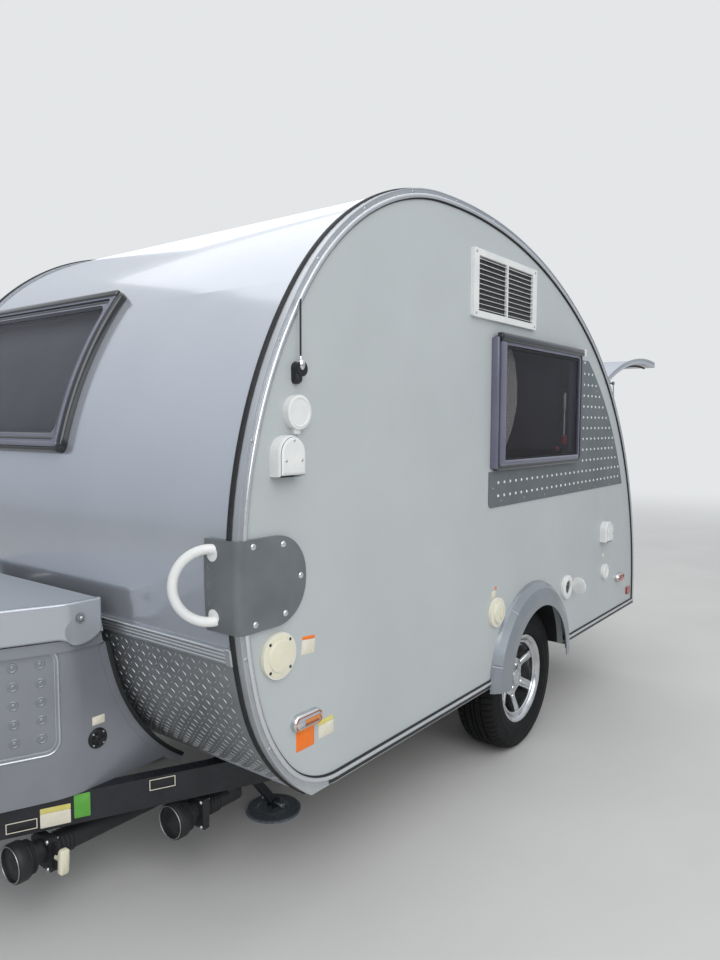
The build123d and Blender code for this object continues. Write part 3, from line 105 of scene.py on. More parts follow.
def quads(rows, cols, wrap_rows=False, wrap_cols=False):
    """Faces of a grid of rows x cols points, each joining point (i, j) with (i + 1, j + 1)."""
    i = np.arange(rows if wrap_rows else rows - 1)[:, None]
    j = np.arange(cols if wrap_cols else cols - 1)[None, :]
    below, right = (i + 1) % rows, (j + 1) % cols
    return np.stack([i * cols + j, i * cols + right, below * cols + right, below * cols + j],
                    -1).reshape(-1, 4)


def skin(rings, wrap=False, ends=(True, True)):
    """Surface over closed rings in a row (rows x points x 3); a fan from the middle shuts an end."""
    rows, count = rings.shape[:2]
    points, faces = rings.reshape(-1, 3), [quads(rows, count, wrap, True)]
    for row, shut in ((0, ends[0]), (rows - 1, ends[1])):
        if shut and not wrap:
            edge = row * count + np.arange(count)
            faces.append(np.stack([edge, np.roll(edge, -1), np.full(count, len(points))], -1))
            points = np.vstack([points, rings[row].mean(0)])
    return points, faces


def join(*shapes):
    """One shape of several, each one's faces counted on from the points before it."""
    points, faces, start = [], [], 0
    for p, fs in shapes:
        points.append(p)
        faces += [f + start for f in fs]
        start += len(p)
    return np.vstack(points), faces


def pad_loop(w, h, r, bend=6, side=0):
    """Rectangle w x h with corners of radius r: a quarter circle of bend steps at each corner,
    and side further points along each straight."""
    r = max(min(r, w / 2 - 0.01, h / 2 - 0.01), 0.01)
    turn = pi / 2 * (np.arange(4)[:, None] + np.linspace(0, 1, bend + 1)[None])
    sx, sy = np.array([[1], [-1], [-1], [1]]), np.array([[1], [1], [-1], [-1]])
    loop = np.stack([sx * (w / 2 - r) + r * np.cos(turn), sy * (h / 2 - r) + r * np.sin(turn)], -1)
    if side:
        t = (np.arange(1, side + 1) / (side + 1))[None, :, None]
        last, first = loop[:, -1:], np.roll(loop, -1, axis=0)[:, :1]
        loop = np.concatenate([loop, last + (first - last) * t], 1)
    return loop.reshape(-1, 2)


def plate(w, h, r, steps, bend=6, side=0, ring=False):
    """Plate of rounded-rectangle loops: each step is (inset, height). With ring the last loop
    joins the first, which leaves a frame; otherwise both ends are shut."""
    loops = [np.insert(pad_loop(w - 2 * i, h - 2 * i, r - i, bend, side), 2, z, axis=1) for i, z in steps]
    return skin(np.stack(loops), wrap=ring)


def lathe(profile, count=32, ends=(True, True), wrap=False):
    """Turned shape: each (radius, height) of the profile becomes a circle round Z."""
    t = np.linspace(0, 2 * pi, count, endpoint=False)
    r, z = np.array(profile, float).T
    rings = np.stack([r[:, None] * np.cos(t), r[:, None] * np.sin(t), np.repeat(z[:, None], count, 1)], -1)
    return skin(rings, wrap, ends)


def turned(profile, count=32):
    """Turned shape with an open foot, such as a screw head or a cover that stands on a face."""
    return lathe(profile, count, (True, False))


def hex_bolt(washer, head, count=24):
    """Hexagonal head on a round washer, both open below."""
    return join(turned(washer, count), turned(head, 6))


def put(shape, at, x=(1, 0, 0), y=(0, 1, 0)):
    """Moves a shape's local axes onto x, y and their cross product, with its origin at a point."""
    x, y = np.array(x, float), np.array(y, float)
    x, y = x / np.linalg.norm(x), y / np.linalg.norm(y)
    return shape[0] @ np.stack([x, y, np.cross(x, y)]) + np.array(at, float), shape[1]


def strew(shape, at, x=(1, 0, 0), y=(0, 1, 0)):
    """Copies of a shape at many places: point = place + local x, y, z along each place's axes."""
    at = np.atleast_2d(np.array(at, float))
    x, y = (np.broadcast_to(np.array(v, float), at.shape) for v in (x, y))
    x = x / np.linalg.norm(x, axis=1, keepdims=True)
    y = y / np.linalg.norm(y, axis=1, keepdims=True)
    axes = np.stack([x, y, np.cross(x, y)], 1)
    points = np.einsum("pk,mkc->mpc", shape[0], axes) + at[:, None]
    count, size = len(at), len(shape[0])
    shift = (np.arange(count) * size)[:, None, None]
    return points.reshape(-1, 3), [(f[None] + shift).reshape(-1, f.shape[1]) for f in shape[1]]


def mirrored(shape):
    """The same shape on the other side, and both together."""
    return join(shape, (shape[0] * [1, -1, 1], [f[:, ::-1] for f in shape[1]]))


def carry(path, across, section, closed=False):
    """Section carried along a path: each section point (u, v) lies u along the path's side
    vector and v along its cross product with the path's direction."""
    path, section = np.array(path, float), np.array(section, float)
    if closed:
        way = np.roll(path, -1, 0) - np.roll(path, 1, 0)
    else:
        way = np.gradient(path, axis=0)
    way = way / np.linalg.norm(way, axis=1, keepdims=True)
    across = np.broadcast_to(np.array(across, float), path.shape)
    side = across - way * (across * way).sum(1, keepdims=True)
    side = side / np.linalg.norm(side, axis=1, keepdims=True)
    up = np.cross(way, side)
    rings = path[:, None] + section[None, :, :1] * side[:, None] + section[None, :, 1:] * up[:, None]
    return skin(rings, wrap=closed)


def circle(r, count=12):
    """Ring section of radius r."""
    t = np.linspace(0, 2 * pi, count, endpoint=False)
    return np.stack([r * np.cos(t), r * np.sin(t)], -1)


def bent(points, steps=8):
    """Smooth path from the first point to the last, drawn towards the corners between: a quadratic
    B-spline, whose spans run from one side's middle to the next with the corner as control point."""
    p = np.array(points, float)
    mid = (p[1:] + p[:-1]) / 2
    mid[0], mid[-1] = p[0], p[-1]
    a, b, c = mid[:-1], mid[1:], p[1:-1]
    t = np.linspace(0, 1, steps, endpoint=False)[None, :, None]
    line = ((1 - t) ** 2 * a[:, None] + 2 * t * (1 - t) * c[:, None] + t ** 2 * b[:, None]).reshape(-1, 3)
    return np.vstack([line, b[-1:]])


def piece(name, shape, finish, edge=40.0, body="trailer", slot=None):
    """Makes a shape a mesh that rides on a body: doubles merged, faces turned outwards, shaded
    smooth up to the edge angle. Its slot, the given one or else its finish's usual one, is
    worked out but not used."""
    slot = slot or SLOT_OF[finish.name]
    mesh = bpy.data.meshes.new(name)
    points = (shape[0] + [SHIFT, 0, 0]) / 1000
    mesh.from_pydata(points.tolist(), [], [f for block in shape[1] for f in block.tolist()])
    work = bmesh.new()
    work.from_mesh(mesh)
    bmesh.ops.remove_doubles(work, verts=work.verts, dist=2e-6)
    bmesh.ops.dissolve_degenerate(work, dist=1e-6, edges=work.edges)
    bmesh.ops.recalc_face_normals(work, faces=work.faces)
    work.to_mesh(mesh)
    work.free()
    mesh.shade_smooth()
    mesh.set_sharp_from_angle(angle=radians(edge))
    mesh.materials.append(finish)
    thing = bpy.data.objects.new(name, mesh)
    bpy.context.scene.collection.objects.link(thing)
    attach(thing, body)
    return thing


def thicken(thing, size, offset):
    """Gives a sheet its thickness in metres by a modifier."""
    thick = thing.modifiers.new("thickness", "SOLIDIFY")
    thick.thickness, thick.offset = size, offset


# materials


def lin(code):
    """Linear colour of an sRGB hex value."""
    c = np.array([int(code[i:i + 2], 16) / 255 for i in (1, 3, 5)])
    return (*np.where(c <= 0.04045, c / 12.92, ((c + 0.055) / 1.055) ** 2.4), 1.0)


def add(tree, kind, values={}, feeds={}, **settings):
    """Adds a shader node with its settings, its input values and the outputs that feed it."""
    made = tree.nodes.new("ShaderNode" + kind)
    for key, value in settings.items():
        setattr(made, key, value)
    for key, value in values.items():
        made.inputs[key].default_value = value
    for key, source in feeds.items():
        tree.links.new(source, made.inputs[key])
    return made.outputs


def ramp(tree, source, stops):
    """Colour ramp of (place, colour) stops over a source between 0 and 1."""
    made = tree.nodes.new("ShaderNodeValToRGB")
    while len(made.color_ramp.elements) < len(stops):
        made.color_ramp.elements.new(0.5)
    for element, (place, colour) in zip(made.color_ramp.elements, stops):
        element.position = place
        element.color = lin(colour) if isinstance(colour, str) else (colour, colour, colour, 1)
    tree.links.new(source, made.inputs[0])
    return made.outputs[0]


def start(name, coat=None, **inputs):
    """New material with its shader's fixed inputs, its tree, its shader's inputs and its Object
    coordinates. coat is the clear coat's weight and roughness."""
    made = bpy.data.materials.new(name)
    made.use_nodes = True
    tree = made.node_tree
    shader = tree.nodes["Principled BSDF"].inputs
    if coat:
        shader["Coat Weight"].default_value, shader["Coat Roughness"].default_value = coat
    for key, value in inputs.items():
        shader[key.replace("_", " ")].default_value = value
    return made, tree, shader, add(tree, "TexCoord")["Object"]


def per_mm(size):
    """Texture scale, per metre, for features of a size in millimetres."""
    return 1000.0 / size


def noise(tree, place, size, detail):
    """Cloudy pattern with features of a size in millimetres."""
    return add(tree, "TexNoise", {"Scale": per_mm(size), "Detail": detail}, {"Vector": place})[0]


def waves(tree, place, size, along, distortion, detail, **values):
    """Bands a size in millimetres apart along an axis; 20 is the node's own scale for bands."""
    values = {key.replace("_", " "): value for key, value in values.items()}
    values.update({"Scale": per_mm(size) / 20, "Distortion": distortion, "Detail": detail})
    return add(tree, "TexWave", values, {"Vector": place}, bands_direction=along)[1]


def drive(tree, target, source, low, high):
    """Feeds a shader input with a ramp over a source; low and high are (place, colour) stops."""
    tree.links.new(ramp(tree, source, [low, high]), target)


def emboss(tree, shader, source, strength, distance):
    """Feeds the shader's normal with bumps of a pattern, distance in metres."""
    bumps = add(tree, "Bump", {"Strength": strength, "Distance": distance}, {"Height": source})[0]
    tree.links.new(bumps, shader["Normal"])


def surface(name, tones, rough, tone_size, rough_size, bumps, stretch=None, coat=None, **inputs):
    """A surface whose colour drifts between two tones over tone_size, whose roughness drifts
    between two values, and whose bumps are noise of (size, height) in millimetres. stretch draws
    the finer patterns out along an axis, as brushing does."""
    made, tree, shader, place = start(name, coat, **inputs)
    cloud = noise(tree, place, tone_size, 5.0)
    drive(tree, shader["Base Color"], cloud, (0.32, tones[0]), (0.68, tones[1]))
    fine = add(tree, "Mapping", {"Scale": stretch}, {"Vector": place})[0] if stretch else place
    blot = noise(tree, fine, rough_size, 4.0)
    drive(tree, shader["Roughness"], blot, (0.3, rough[0]), (0.7, rough[1]))
    feeds = {}
    for size, height in bumps:
        feeds["Height"] = noise(tree, fine, size, 3.0)
        feeds["Normal"] = add(tree, "Bump", {"Strength": 1.0, "Distance": height / 1000}, feeds)[0]
    tree.links.new(feeds["Normal"], shader["Normal"])
    return made


# painted, moulded and metal finishes of the trailer

# gel-coated glass-fibre panel, rolled flat: satin, a light grey that drifts a little with dust
GELCOAT = surface("gelcoat_side_panel", ("#b4babb", "#bbc1c2"), (0.30, 0.42), 500, 120,
                  ((1.6, 0.02), (600, 0.9)), coat=(0.15, 0.3))
# metallic lacquer over glass fibre, polished: carries long soft reflections that ripple slightly
LACQUER = surface("silver_lacquer_skin", ("#bcc2cb", "#c7ccd4"), (0.14, 0.22), 900, 200,
                  ((260, 0.6), (900, 3.0)), Metallic=0.55, coat=(0.7, 0.06))
# aluminium chequer plate, rolled: dull grey sheet between raised bars, which are drawn in a lighter copy of
# the same aluminium: a painted highlight on the bars
CHEQUER_BASE = surface("chequer_plate_sheet", ("#85888b", "#9b9ea0"), (0.40, 0.56), 220, 30,
                       ((2.0, 0.03), (90, 0.5)), Metallic=0.6)
CHEQUER_BAR_PAINTED_HIGHLIGHT = surface("chequer_plate_bars_painted_highlight", ("#a6a8aa", "#c2c4c6"), (0.26, 0.42), 160, 12,
                      ((3.0, 0.05),), Metallic=0.85)
# aluminium edge section, extruded and anodised: even satin silver with fine lengthwise lines
ANODISED = surface("anodised_aluminium", ("#b7babe", "#c6c9cc"), (0.28, 0.40), 260, 20,
                   ((1.5, 0.02),), Metallic=0.85)
# the rolled beads of that section, buffed: brighter, with a tight highlight along them
POLISHED = surface("buffed_aluminium", ("#cfd2d6", "#dddfe2"), (0.16, 0.26), 240, 18, ((1.5, 0.015),),
                   Metallic=0.8)
# extruded rubber seal: dense black, dull
RUBBER = surface("black_rubber_seal", ("#131416", "#1c1d20"), (0.55, 0.75), 60, 8, ((1.0, 0.03),))
# window acrylic surround, moulded and polished: near black, mirror-like
BLACK_ACRYLIC = surface("black_gloss_acrylic", ("#17181c", "#1e2025"), (0.10, 0.18), 200, 60,
                        ((120, 0.15),), coat=(0.5, 0.05))
# acrylic flange of the opening windows, moulded: smooth semi-gloss; drawn lilac-grey, lighter than the black
# surround, a painted reflection of the sky
LILAC_SKY_REFLECTION = surface("lilac_grey_acrylic_painted_sky_reflection", ("#5f5f72", "#6b6b7c"), (0.14, 0.24), 200, 60,
                ((120, 0.1),), coat=(0.4, 0.08))
# ABS, moulded and weathered: chalky white, soft sheen
WHITE_ABS = surface("white_abs", ("#dddfde", "#e8e9e7"), (0.34, 0.48), 80, 15, ((1.2, 0.02),))
# the same resin yellowed by the sun
CREAM_ABS = surface("cream_abs", ("#ddd9c0", "#e6e2cc"), (0.36, 0.5), 60, 15, ((1.2, 0.02),))
# ABS with a leather-like mould grain: mid grey, dull highlights
GREY_ABS = surface("grained_grey_abs", ("#5d6266", "#6a6f73"), (0.30, 0.42), 120, 10, ((1.8, 0.08),),
                   coat=(0.25, 0.2))
# ABS sprayed with silver base coat: satin
SILVER_ABS = surface("silver_sprayed_abs", ("#858b92", "#90969c"), (0.30, 0.38), 200, 60,
                     ((400, 0.6),), Metallic=0.5, coat=(0.5, 0.12))
# thermoformed tub in silver-grey, orange-peel surface from the mould
TUB_ABS = surface("tub_silver_abs", ("#7f8289", "#8d9097"), (0.28, 0.38), 400, 90,
                  ((5.0, 0.02), (500, 0.9)), Metallic=0.4, coat=(0.3, 0.2))
# the same skin on the raised beads, drawn lighter and glossier: the lighter tone is a painted highlight
# along the beads
TUB_BEAD_PAINTED_HIGHLIGHT = surface("tub_bead_abs_painted_highlight", ("#a9adb4", "#b8bcc3"), (0.18, 0.28), 200, 20,
                    ((5.0, 0.03),), Metallic=0.5, coat=(0.5, 0.1))
# the tub's lid, of the same sheet: drawn lighter than the tub all over, a painted reflection of the sky that
# its top catches
LID_PAINTED_SKY_REFLECTION = surface("tub_lid_abs_painted_sky_reflection", ("#a9aeb5", "#b1b6bc"), (0.27, 0.30), 900, 400,
                  ((700, 0.15),), Metallic=0.45, coat=(0.5, 0.12))
# polyethylene, vacuum formed: black with a dusty bloom
BLACK_PE = surface("black_polyethylene", ("#191a1c", "#26272a"), (0.5, 0.66), 120, 12, ((1.5, 0.06),))
# plate under the windows, pressed and lacquered grey-green
GREY_PLATE = surface("grey_lacquered_plate", ("#555c5f", "#5f6669"), (0.3, 0.4), 200, 40,
                     ((1.5, 0.015), (300, 0.4)), coat=(0.2, 0.25))
# structural steel, blasted and enamelled blue-black: slight orange peel, dust on the flats
BLACK_STEEL = surface("black_enamelled_steel", ("#15161b", "#23242a"), (0.38, 0.58), 90, 14, ((4.0, 0.08),))
# steel, hot-dip galvanised: dull blue-grey crystals a centimetre wide, dusty
GALVANISED = surface("hot_dip_galvanised_steel", ("#747c84", "#8d959c"), (0.38, 0.55), 12, 9, ((9.0, 0.04),),
                     Metallic=0.7)
# steel, zinc plated: bright with a cloudy passivated bloom
ZINC = surface("zinc_plated_steel", ("#a9adb0", "#c3c6c9"), (0.26, 0.42), 30, 5, ((2.0, 0.03),),
               Metallic=1.0)
# wheel alloy, cast and machined: bright silver with brake dust in the hollows
ALLOY = surface("machined_wheel_alloy", ("#b8babd", "#d9dadc"), (0.12, 0.26), 60, 10, ((3.0, 0.03),),
                Metallic=0.95)
# tyre rubber, vulcanised: dull black with a brownish dust
TYRE = surface("tyre_rubber", ("#08090b", "#121213"), (0.66, 0.84), 70, 9, ((1.5, 0.06),),
               Specular_IOR_Level=0.3)
# stainless sheet, brushed along X
STAINLESS = surface("brushed_stainless_steel", ("#a4a7a9", "#bcbfc1"), (0.24, 0.38), 160, 6,
                    ((3.0, 0.02),), stretch=(0.04, 1.0, 1.0), Metallic=1.0)
# inner wall and ceiling board, foil faced: matt off-white
INNER_BOARD = surface("foil_faced_board", ("#cfcdc7", "#d9d7d1"), (0.45, 0.6), 300, 30, ((1.2, 0.02),))
# floor plywood with sheet vinyl: warm grey
VINYL = surface("vinyl_floor_sheet", ("#6e6860", "#7d776e"), (0.4, 0.55), 60, 12, ((2.5, 0.05),))
# ABS, moulded deep black: small parts, slightly dusty
BLACK_ABS = surface("black_abs", ("#101113", "#191a1d"), (0.32, 0.5), 60, 12, ((1.2, 0.03),))
# chrome on moulded bezels, bolts and the antenna collar
CHROME = surface("chromed_bezel", ("#c9cbcd", "#dcdee0"), (0.06, 0.14), 40, 10, ((20, 0.02),), Metallic=1.0)
# ABS, moulded red: the windows' lock buttons
RED_ABS = surface("red_abs", ("#a81218", "#bd1a1f"), (0.3, 0.42), 30, 8, ((1.0, 0.02),))
# vinyl films of the reflectors and labels, sun-bleached, with a faint orange peel
ORANGE_FILM = surface("orange_reflector_film", ("#f57008", "#fb8114"), (0.25, 0.4), 40, 3, ((1.0, 0.03),))
LABEL_FILM = surface("white_vinyl_film", ("#dcd6c4", "#e6e0d0"), (0.35, 0.5), 30, 6, ((1.5, 0.02),))
YELLOW_FILM = surface("yellow_vinyl_film", ("#d5cc6c", "#ded683"), (0.35, 0.5), 30, 6, ((1.5, 0.02),))
GREEN_FILM = surface("green_vinyl_film", ("#57a03a", "#63ad45"), (0.35, 0.5), 30, 6, ((1.5, 0.02),))


def lens(name, tone, deep):
    """Lamp lens of moulded acrylic: two tones in fine optic ribs 4 mm apart, clear gloss over."""
    made, tree, shader, place = start(name, (0.6, 0.04), Roughness=0.12)
    ribs = waves(tree, place, 4.0, "Z", 0.4, 1.0)
    drive(tree, shader["Base Color"], ribs, (0.2, deep), (0.8, tone))
    emboss(tree, shader, ribs, 0.6, 0.0006)
    return made


AMBER_LENS = lens("amber_lamp_lens", "#d9822c", "#9a4c14")
RED_LENS = lens("red_lamp_lens", "#b5161c", "#6d0a10")


def tinted():
    """Double-walled window acrylic, cast and tinted violet-grey: see-through enough that the cabin
    shows dark behind a clear gloss, with faint ripples from casting."""
    made, tree, shader, place = start("tinted_window_acrylic", (0.1, 0.02), Roughness=0.02, IOR=1.49,
                                      Specular_IOR_Level=0.3, Alpha=0.38)
    smear = noise(tree, place, 240, 0.0)
    drive(tree, shader["Base Color"], smear, (0.3, "#14131b"), (0.7, "#1b1a24"))
    emboss(tree, shader, smear, 1.0, 0.0003)
    return made


TINTED = tinted()


def plywood(name, light, dark, board):
    """Veneer: growth rings as distorted waves along X, pores as noise stretched along X."""
    made, tree, shader, place = start(name, (0.25, 0.25))
    long = add(tree, "Mapping", {"Scale": (0.12, 1.0, 1.0)}, {"Vector": place})[0]
    rings = waves(tree, long, board, "Z", 7.0, 3.0, Detail_Scale=0.8)
    drive(tree, shader["Base Color"], rings, (0.15, light), (0.85, dark))
    pores = noise(tree, long, 2.2, 4.0)
    drive(tree, shader["Roughness"], pores, (0.3, 0.34), (0.7, 0.5))
    emboss(tree, shader, pores, 0.5, 0.0002)
    return made


BIRCH = plywood("birch_plywood_veneer", "#c4a071", "#ad8656", 40)
MAPLE = plywood("maple_foil_cabinet", "#a97f55", "#8f6640", 60)


def woven(name, warp, weft, thread):
    """Plain-weave upholstery: two waves at right angles, a thread apart, drive the colour and the
    bump; the sheen is the loose nap of the yarn."""
    made, tree, shader, place = start(name, Roughness=0.85, Sheen_Weight=0.4, Sheen_Roughness=0.5)
    over, under = (waves(tree, place, thread, axis, 0.6, 1.0) for axis in "XZ")
    weave = add(tree, "Math", {}, {0: over, 1: under}, operation="MULTIPLY")[0]
    fade = {0: noise(tree, place, 70, 4.0), 2: weave}
    faded = add(tree, "Math", {1: 0.6}, fade, operation="MULTIPLY_ADD")[0]
    drive(tree, shader["Base Color"], faded, (0.3, warp), (0.9, weft))
    emboss(tree, shader, weave, 0.8, 0.0008)
    return made


# threads are drawn 2 to 3 mm apart, coarser than real ones, so that they show
UPHOLSTERY = woven("woven_upholstery", "#4b4d55", "#6a6c74", 3.0)
CURTAIN = woven("woven_curtain", "#cfcac8", "#e3dfdc", 2.5)
PIPING = woven("cushion_piping", "#c3c4c6", "#d4d5d6", 2.0)
# pleated blind cloth, non-woven and heat set: near black with a brown cast, fully matt
BLIND_CLOTH = surface("pleated_blind_cloth", ("#2a2327", "#372e32"), (0.85, 0.95), 300, 60, ((40, 0.05),))
# the same cloth aluminised for the front window: pale blue-grey
PALE_BLIND = surface("aluminised_blind_cloth", ("#b4bac9", "#c3c8d4"), (0.5, 0.65), 300, 60, ((40, 0.05),))

# each node's finish
WORN_BY = [
    (GELCOAT, "side_wall_left side_wall_right entry_door"),
    (LACQUER, "roof_skin tail_panel hatch_shell"),
    (CHEQUER_BASE, "gravel_guard"),
    (ANODISED, "guard_rail edge_trims door_jamb hinge_leaves"),
    (VINYL, "floor_deck"),
    (BLACK_PE, "wheel_wells waste_outlets"),
    (SILVER_ABS, "wheel_flares"),
    (LILAC_SKY_REFLECTION, "window_frames"),
    (TINTED, "window_panes door_pane"),
    (GREY_PLATE, "dimple_plates"),
    (GREY_ABS, "corner_caps"),
    (WHITE_ABS, "air_grille grab_handles wall_fittings roof_vent roof_vent_lid"),
    (BLACK_ABS, "antenna hatch_pull"),
    (BLACK_ACRYLIC, "door_hardware"),
    (MAPLE, "hatch_liner"),
    (BLACK_STEEL, "strut_tube_left strut_tube_right chassis coupler axle steady_brackets"),
    (BLACK_STEEL, "steady_front_left steady_front_right steady_rear_left steady_rear_right"),
    (CHROME, "strut_rod_left strut_rod_right"),
    (TYRE, "tyre_left tyre_right"),
    (ALLOY, "rim_left rim_right"),
    (ZINC, "jack_tube jack_leg"),
    (TUB_ABS, "tongue_tub"),
    (LID_PAINTED_SKY_REFLECTION, "tub_lid"),
    (INNER_BOARD, "bulkhead washroom_walls"),
    (BIRCH, "galley_unit benches kitchen_unit"),
    (STAINLESS, "sink_and_stove"),
    (UPHOLSTERY, "cushions"),
    (AMBER_LENS, "lamps"),
]
FINISHES = {name: finish for finish, names in WORN_BY for name in names.split()}
for node_name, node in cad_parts.items():
    for place in node.material_slots:
        place.material = FINISHES[node_name]

# the usual slot of each finish, which piece looks up where its call names none and does not use
USUAL_SLOTS = {
    "trim_metal": (POLISHED, ANODISED),
    "zinc_steel": (ZINC, CHROME),
    "alloy": (ALLOY,),
    "tread_plate": (CHEQUER_BAR_PAINTED_HIGHLIGHT,),
    "black_steel": (BLACK_STEEL, GALVANISED),
    "steel_sheet": (STAINLESS,),
    "black_plastic": (RUBBER, BLACK_ABS, BLACK_PE),
    "frame_plastic": (BLACK_ACRYLIC, LILAC_SKY_REFLECTION),
    "white_plastic": (WHITE_ABS, CREAM_ABS, RED_ABS, LABEL_FILM, YELLOW_FILM, GREEN_FILM),
    "silver_plastic": (TUB_ABS, TUB_BEAD_PAINTED_HIGHLIGHT, LID_PAINTED_SKY_REFLECTION),
    "lamp_plastic": (RED_LENS, AMBER_LENS, ORANGE_FILM),
    "tyre": (TYRE,),
    "birch_ply": (MAPLE,),
    "fabric": (UPHOLSTERY, CURTAIN, PIPING, BLIND_CLOTH, PALE_BLIND),
}
SLOT_OF = {finish.name: slot for slot, finishes in USUAL_SLOTS.items() for finish in finishes}


# studio


def lamp(name, at, aim, size, power):
    """Square soft box that faces its aim."""
    light = bpy.data.lights.new(name, "AREA")
    light.shape, light.size, light.energy = "SQUARE", size, power
    thing = bpy.data.objects.new(name, light)
    thing.location = at
    thing.rotation_euler = (Vector(aim) - Vector(at)).to_track_quat("-Z", "Y").to_euler()
    bpy.context.scene.collection.objects.link(thing)


HORIZON = "#e4e6e8"
lamp("key_softbox", (4.5, 6.5, 6.0), (0.3, 0.5, 1.0), 7.5, 430.0)
lamp("top_softbox", (-0.5, -0.5, 7.5), (0, 0, 1), 9.5, 190.0)
lamp("back_softbox", (-6.0, -5.5, 4.5), (0, 0, 1), 6.5, 105.0)

world = bpy.data.worlds.new("studio_sky")
world.use_nodes = True
sky = world.node_tree
view = add(sky, "TexCoord")["Generated"]
height = add(sky, "SeparateXYZ", {}, {0: view})[2]
rise = add(sky, "Math", {1: 0.5, 2: 0.5}, {0: height}, operation="MULTIPLY_ADD")[0]
# what gloss sees: a pale band over the horizon, greyer above, brightest overhead
mirror = ramp(sky, rise, [(0.0, "#9c9d9f"), (0.46, "#a9acb1"), (0.53, "#bcc1c9"), (0.66, "#d0d6df"),
                          (0.85, "#f1f4f8")])
rays = add(sky, "LightPath")
camera_ray, glossy, through = (rays["Is " + kind + " Ray"] for kind in ("Camera", "Glossy", "Transmission"))
seen = add(sky, "Math", {}, {0: glossy, 1: through}, operation="MAXIMUM")[0]
tone = add(sky, "MixRGB", {1: lin("#e6e9ed")}, {0: seen, 2: mirror})[0]
tone = add(sky, "MixRGB", {2: lin(HORIZON)}, {0: camera_ray, 1: tone})[0]
bright = add(sky, "Math", {}, {0: camera_ray, 1: seen}, operation="MAXIMUM")[0]
power = add(sky, "Math", {1: 0.38, 2: 0.62}, {0: bright}, operation="MULTIPLY_ADD")[0]
sky.links.new(tone, sky.nodes["Background"].inputs["Color"])
sky.links.new(power, sky.nodes["Background"].inputs["Strength"])
bpy.context.scene.world = world

floor_mesh = bpy.data.meshes.new("studio_floor")
spread = np.linspace(-40, 40, 9)
floor_points = np.stack([*np.meshgrid(spread, spread, indexing="ij"), np.zeros((9, 9))], -1).reshape(-1, 3)
floor_mesh.from_pydata(floor_points.tolist(), [], quads(9, 9)[:, ::-1].tolist())
# painted studio floor, matt, fading with distance into the backdrop's own tone
paint = surface("pale_studio_floor", ("#cfcfcd", "#d6d6d4"), (0.7, 0.85), 900, 60, ((6.0, 0.1),))
tree = paint.node_tree
where = add(tree, "TexCoord")["Object"]
far = add(tree, "VectorMath", {}, {0: where}, operation="LENGTH")["Value"]
far = add(tree, "MapRange", {1: 4.5, 2: 16.0}, {0: far}, interpolation_type="SMOOTHSTEP")[0]
far = add(tree, "Math", {}, {0: far, 1: add(tree, "LightPath")["Is Camera Ray"]}, operation="MULTIPLY")[0]
glow = add(tree, "Emission", {"Color": lin(HORIZON), "Strength": 1.0})[0]
both = add(tree, "MixShader", {}, {0: far, 1: tree.nodes["Principled BSDF"].outputs[0], 2: glow})[0]
tree.links.new(both, tree.nodes["Material Output"].inputs[0])
floor_mesh.materials.append(paint)
floor = bpy.data.objects.new("studio_floor", floor_mesh)
bpy.context.scene.collection.objects.link(floor)

# camera, from the photograph's own perspective: its focal length and height in pixels
FOCAL, PHOTO_HEIGHT = 741.888, 960
eye = (np.array([3186.4, 2448.4, 1559.8]) + [SHIFT, 0, 0]) / 1000
LOOK = Vector((-0.792544, -0.604948, -0.076885))
RIGHT = Vector((-0.606931, 0.794748, 0.003102))
UP = Vector((-0.059228, -0.049123, 0.997035))
camera = bpy.data.objects.new("camera", bpy.data.cameras.new("camera"))
camera.matrix_world = Matrix.Translation(eye) @ Matrix((RIGHT, UP, -LOOK)).transposed().to_4x4()
camera.data.lens = FOCAL / PHOTO_HEIGHT * camera.data.sensor_width
bpy.context.scene.collection.objects.link(camera)
bpy.context.scene.camera = camera
bpy.context.scene.view_settings.view_transform = "Standard"


# lengths along the body outline, for pieces that lie on the curved skin
HEADINGS = np.linspace(OUTLINE_HEADING, TAIL_HEADING, 4001)
LENGTHS = np.insert(np.cumsum(np.linalg.norm(np.diff(outline(HEADINGS), axis=0), axis=1)), 0, 0.0)


def reach(h):
    """Length along the outline, in millimetres, from its low front end to heading h."""
    return np.interp(h, HEADINGS, LENGTHS)


def wrap(shape, s, y):
    """Lays a flat shape on the curved skin: its x runs along +Y from y, its y along the outline
    from length s, and its z stands out along the outline's normal."""
    across, along, out = shape[0].T
    h = np.interp(s + along, LENGTHS, HEADINGS)
    line = outline(h)
    return np.stack([line[:, 0] + out * np.sin(np.radians(h)), y + across,
                     line[:, 1] - out * np.cos(np.radians(h))], -1), shape[1]


def on_wall(shape, x, z, out=0.0, side=1):
    """Stands a flat shape on a side wall: local z points out of the wall, y is up."""
    return put(shape, (x, side * (HALF_W + out), z), (-side, 0, 0), (0, 0, 1))


# ranges of headings on the nose and on the tail, in which a level is looked up
NOSE, TAIL = (76.0, 125.0), (211.0, 269.5)
DIAGONALS = np.radians([45, 135, 225, 315])
S_RAIL = reach(heading_of(911.0, *NOSE))


def around(shape, x, z, r, out=0.0, place=on_wall):
    """Four copies of a shape at radius r round a point, on the diagonals."""
    return [place(shape, x + r * cos(a), z + r * sin(a), out) for a in DIAGONALS]


def out_of_nose(shape, z, y, out):
    """Stands a shape at level z and y, with its local z along the nose's normal there; its x is that
    of the outline moved out by out."""
    h = heading_of(z, *NOSE)
    return put(shape, (outline(h, -out)[0], y, z), (0, 1, 0), (-cos(radians(h)), 0, -sin(radians(h))))


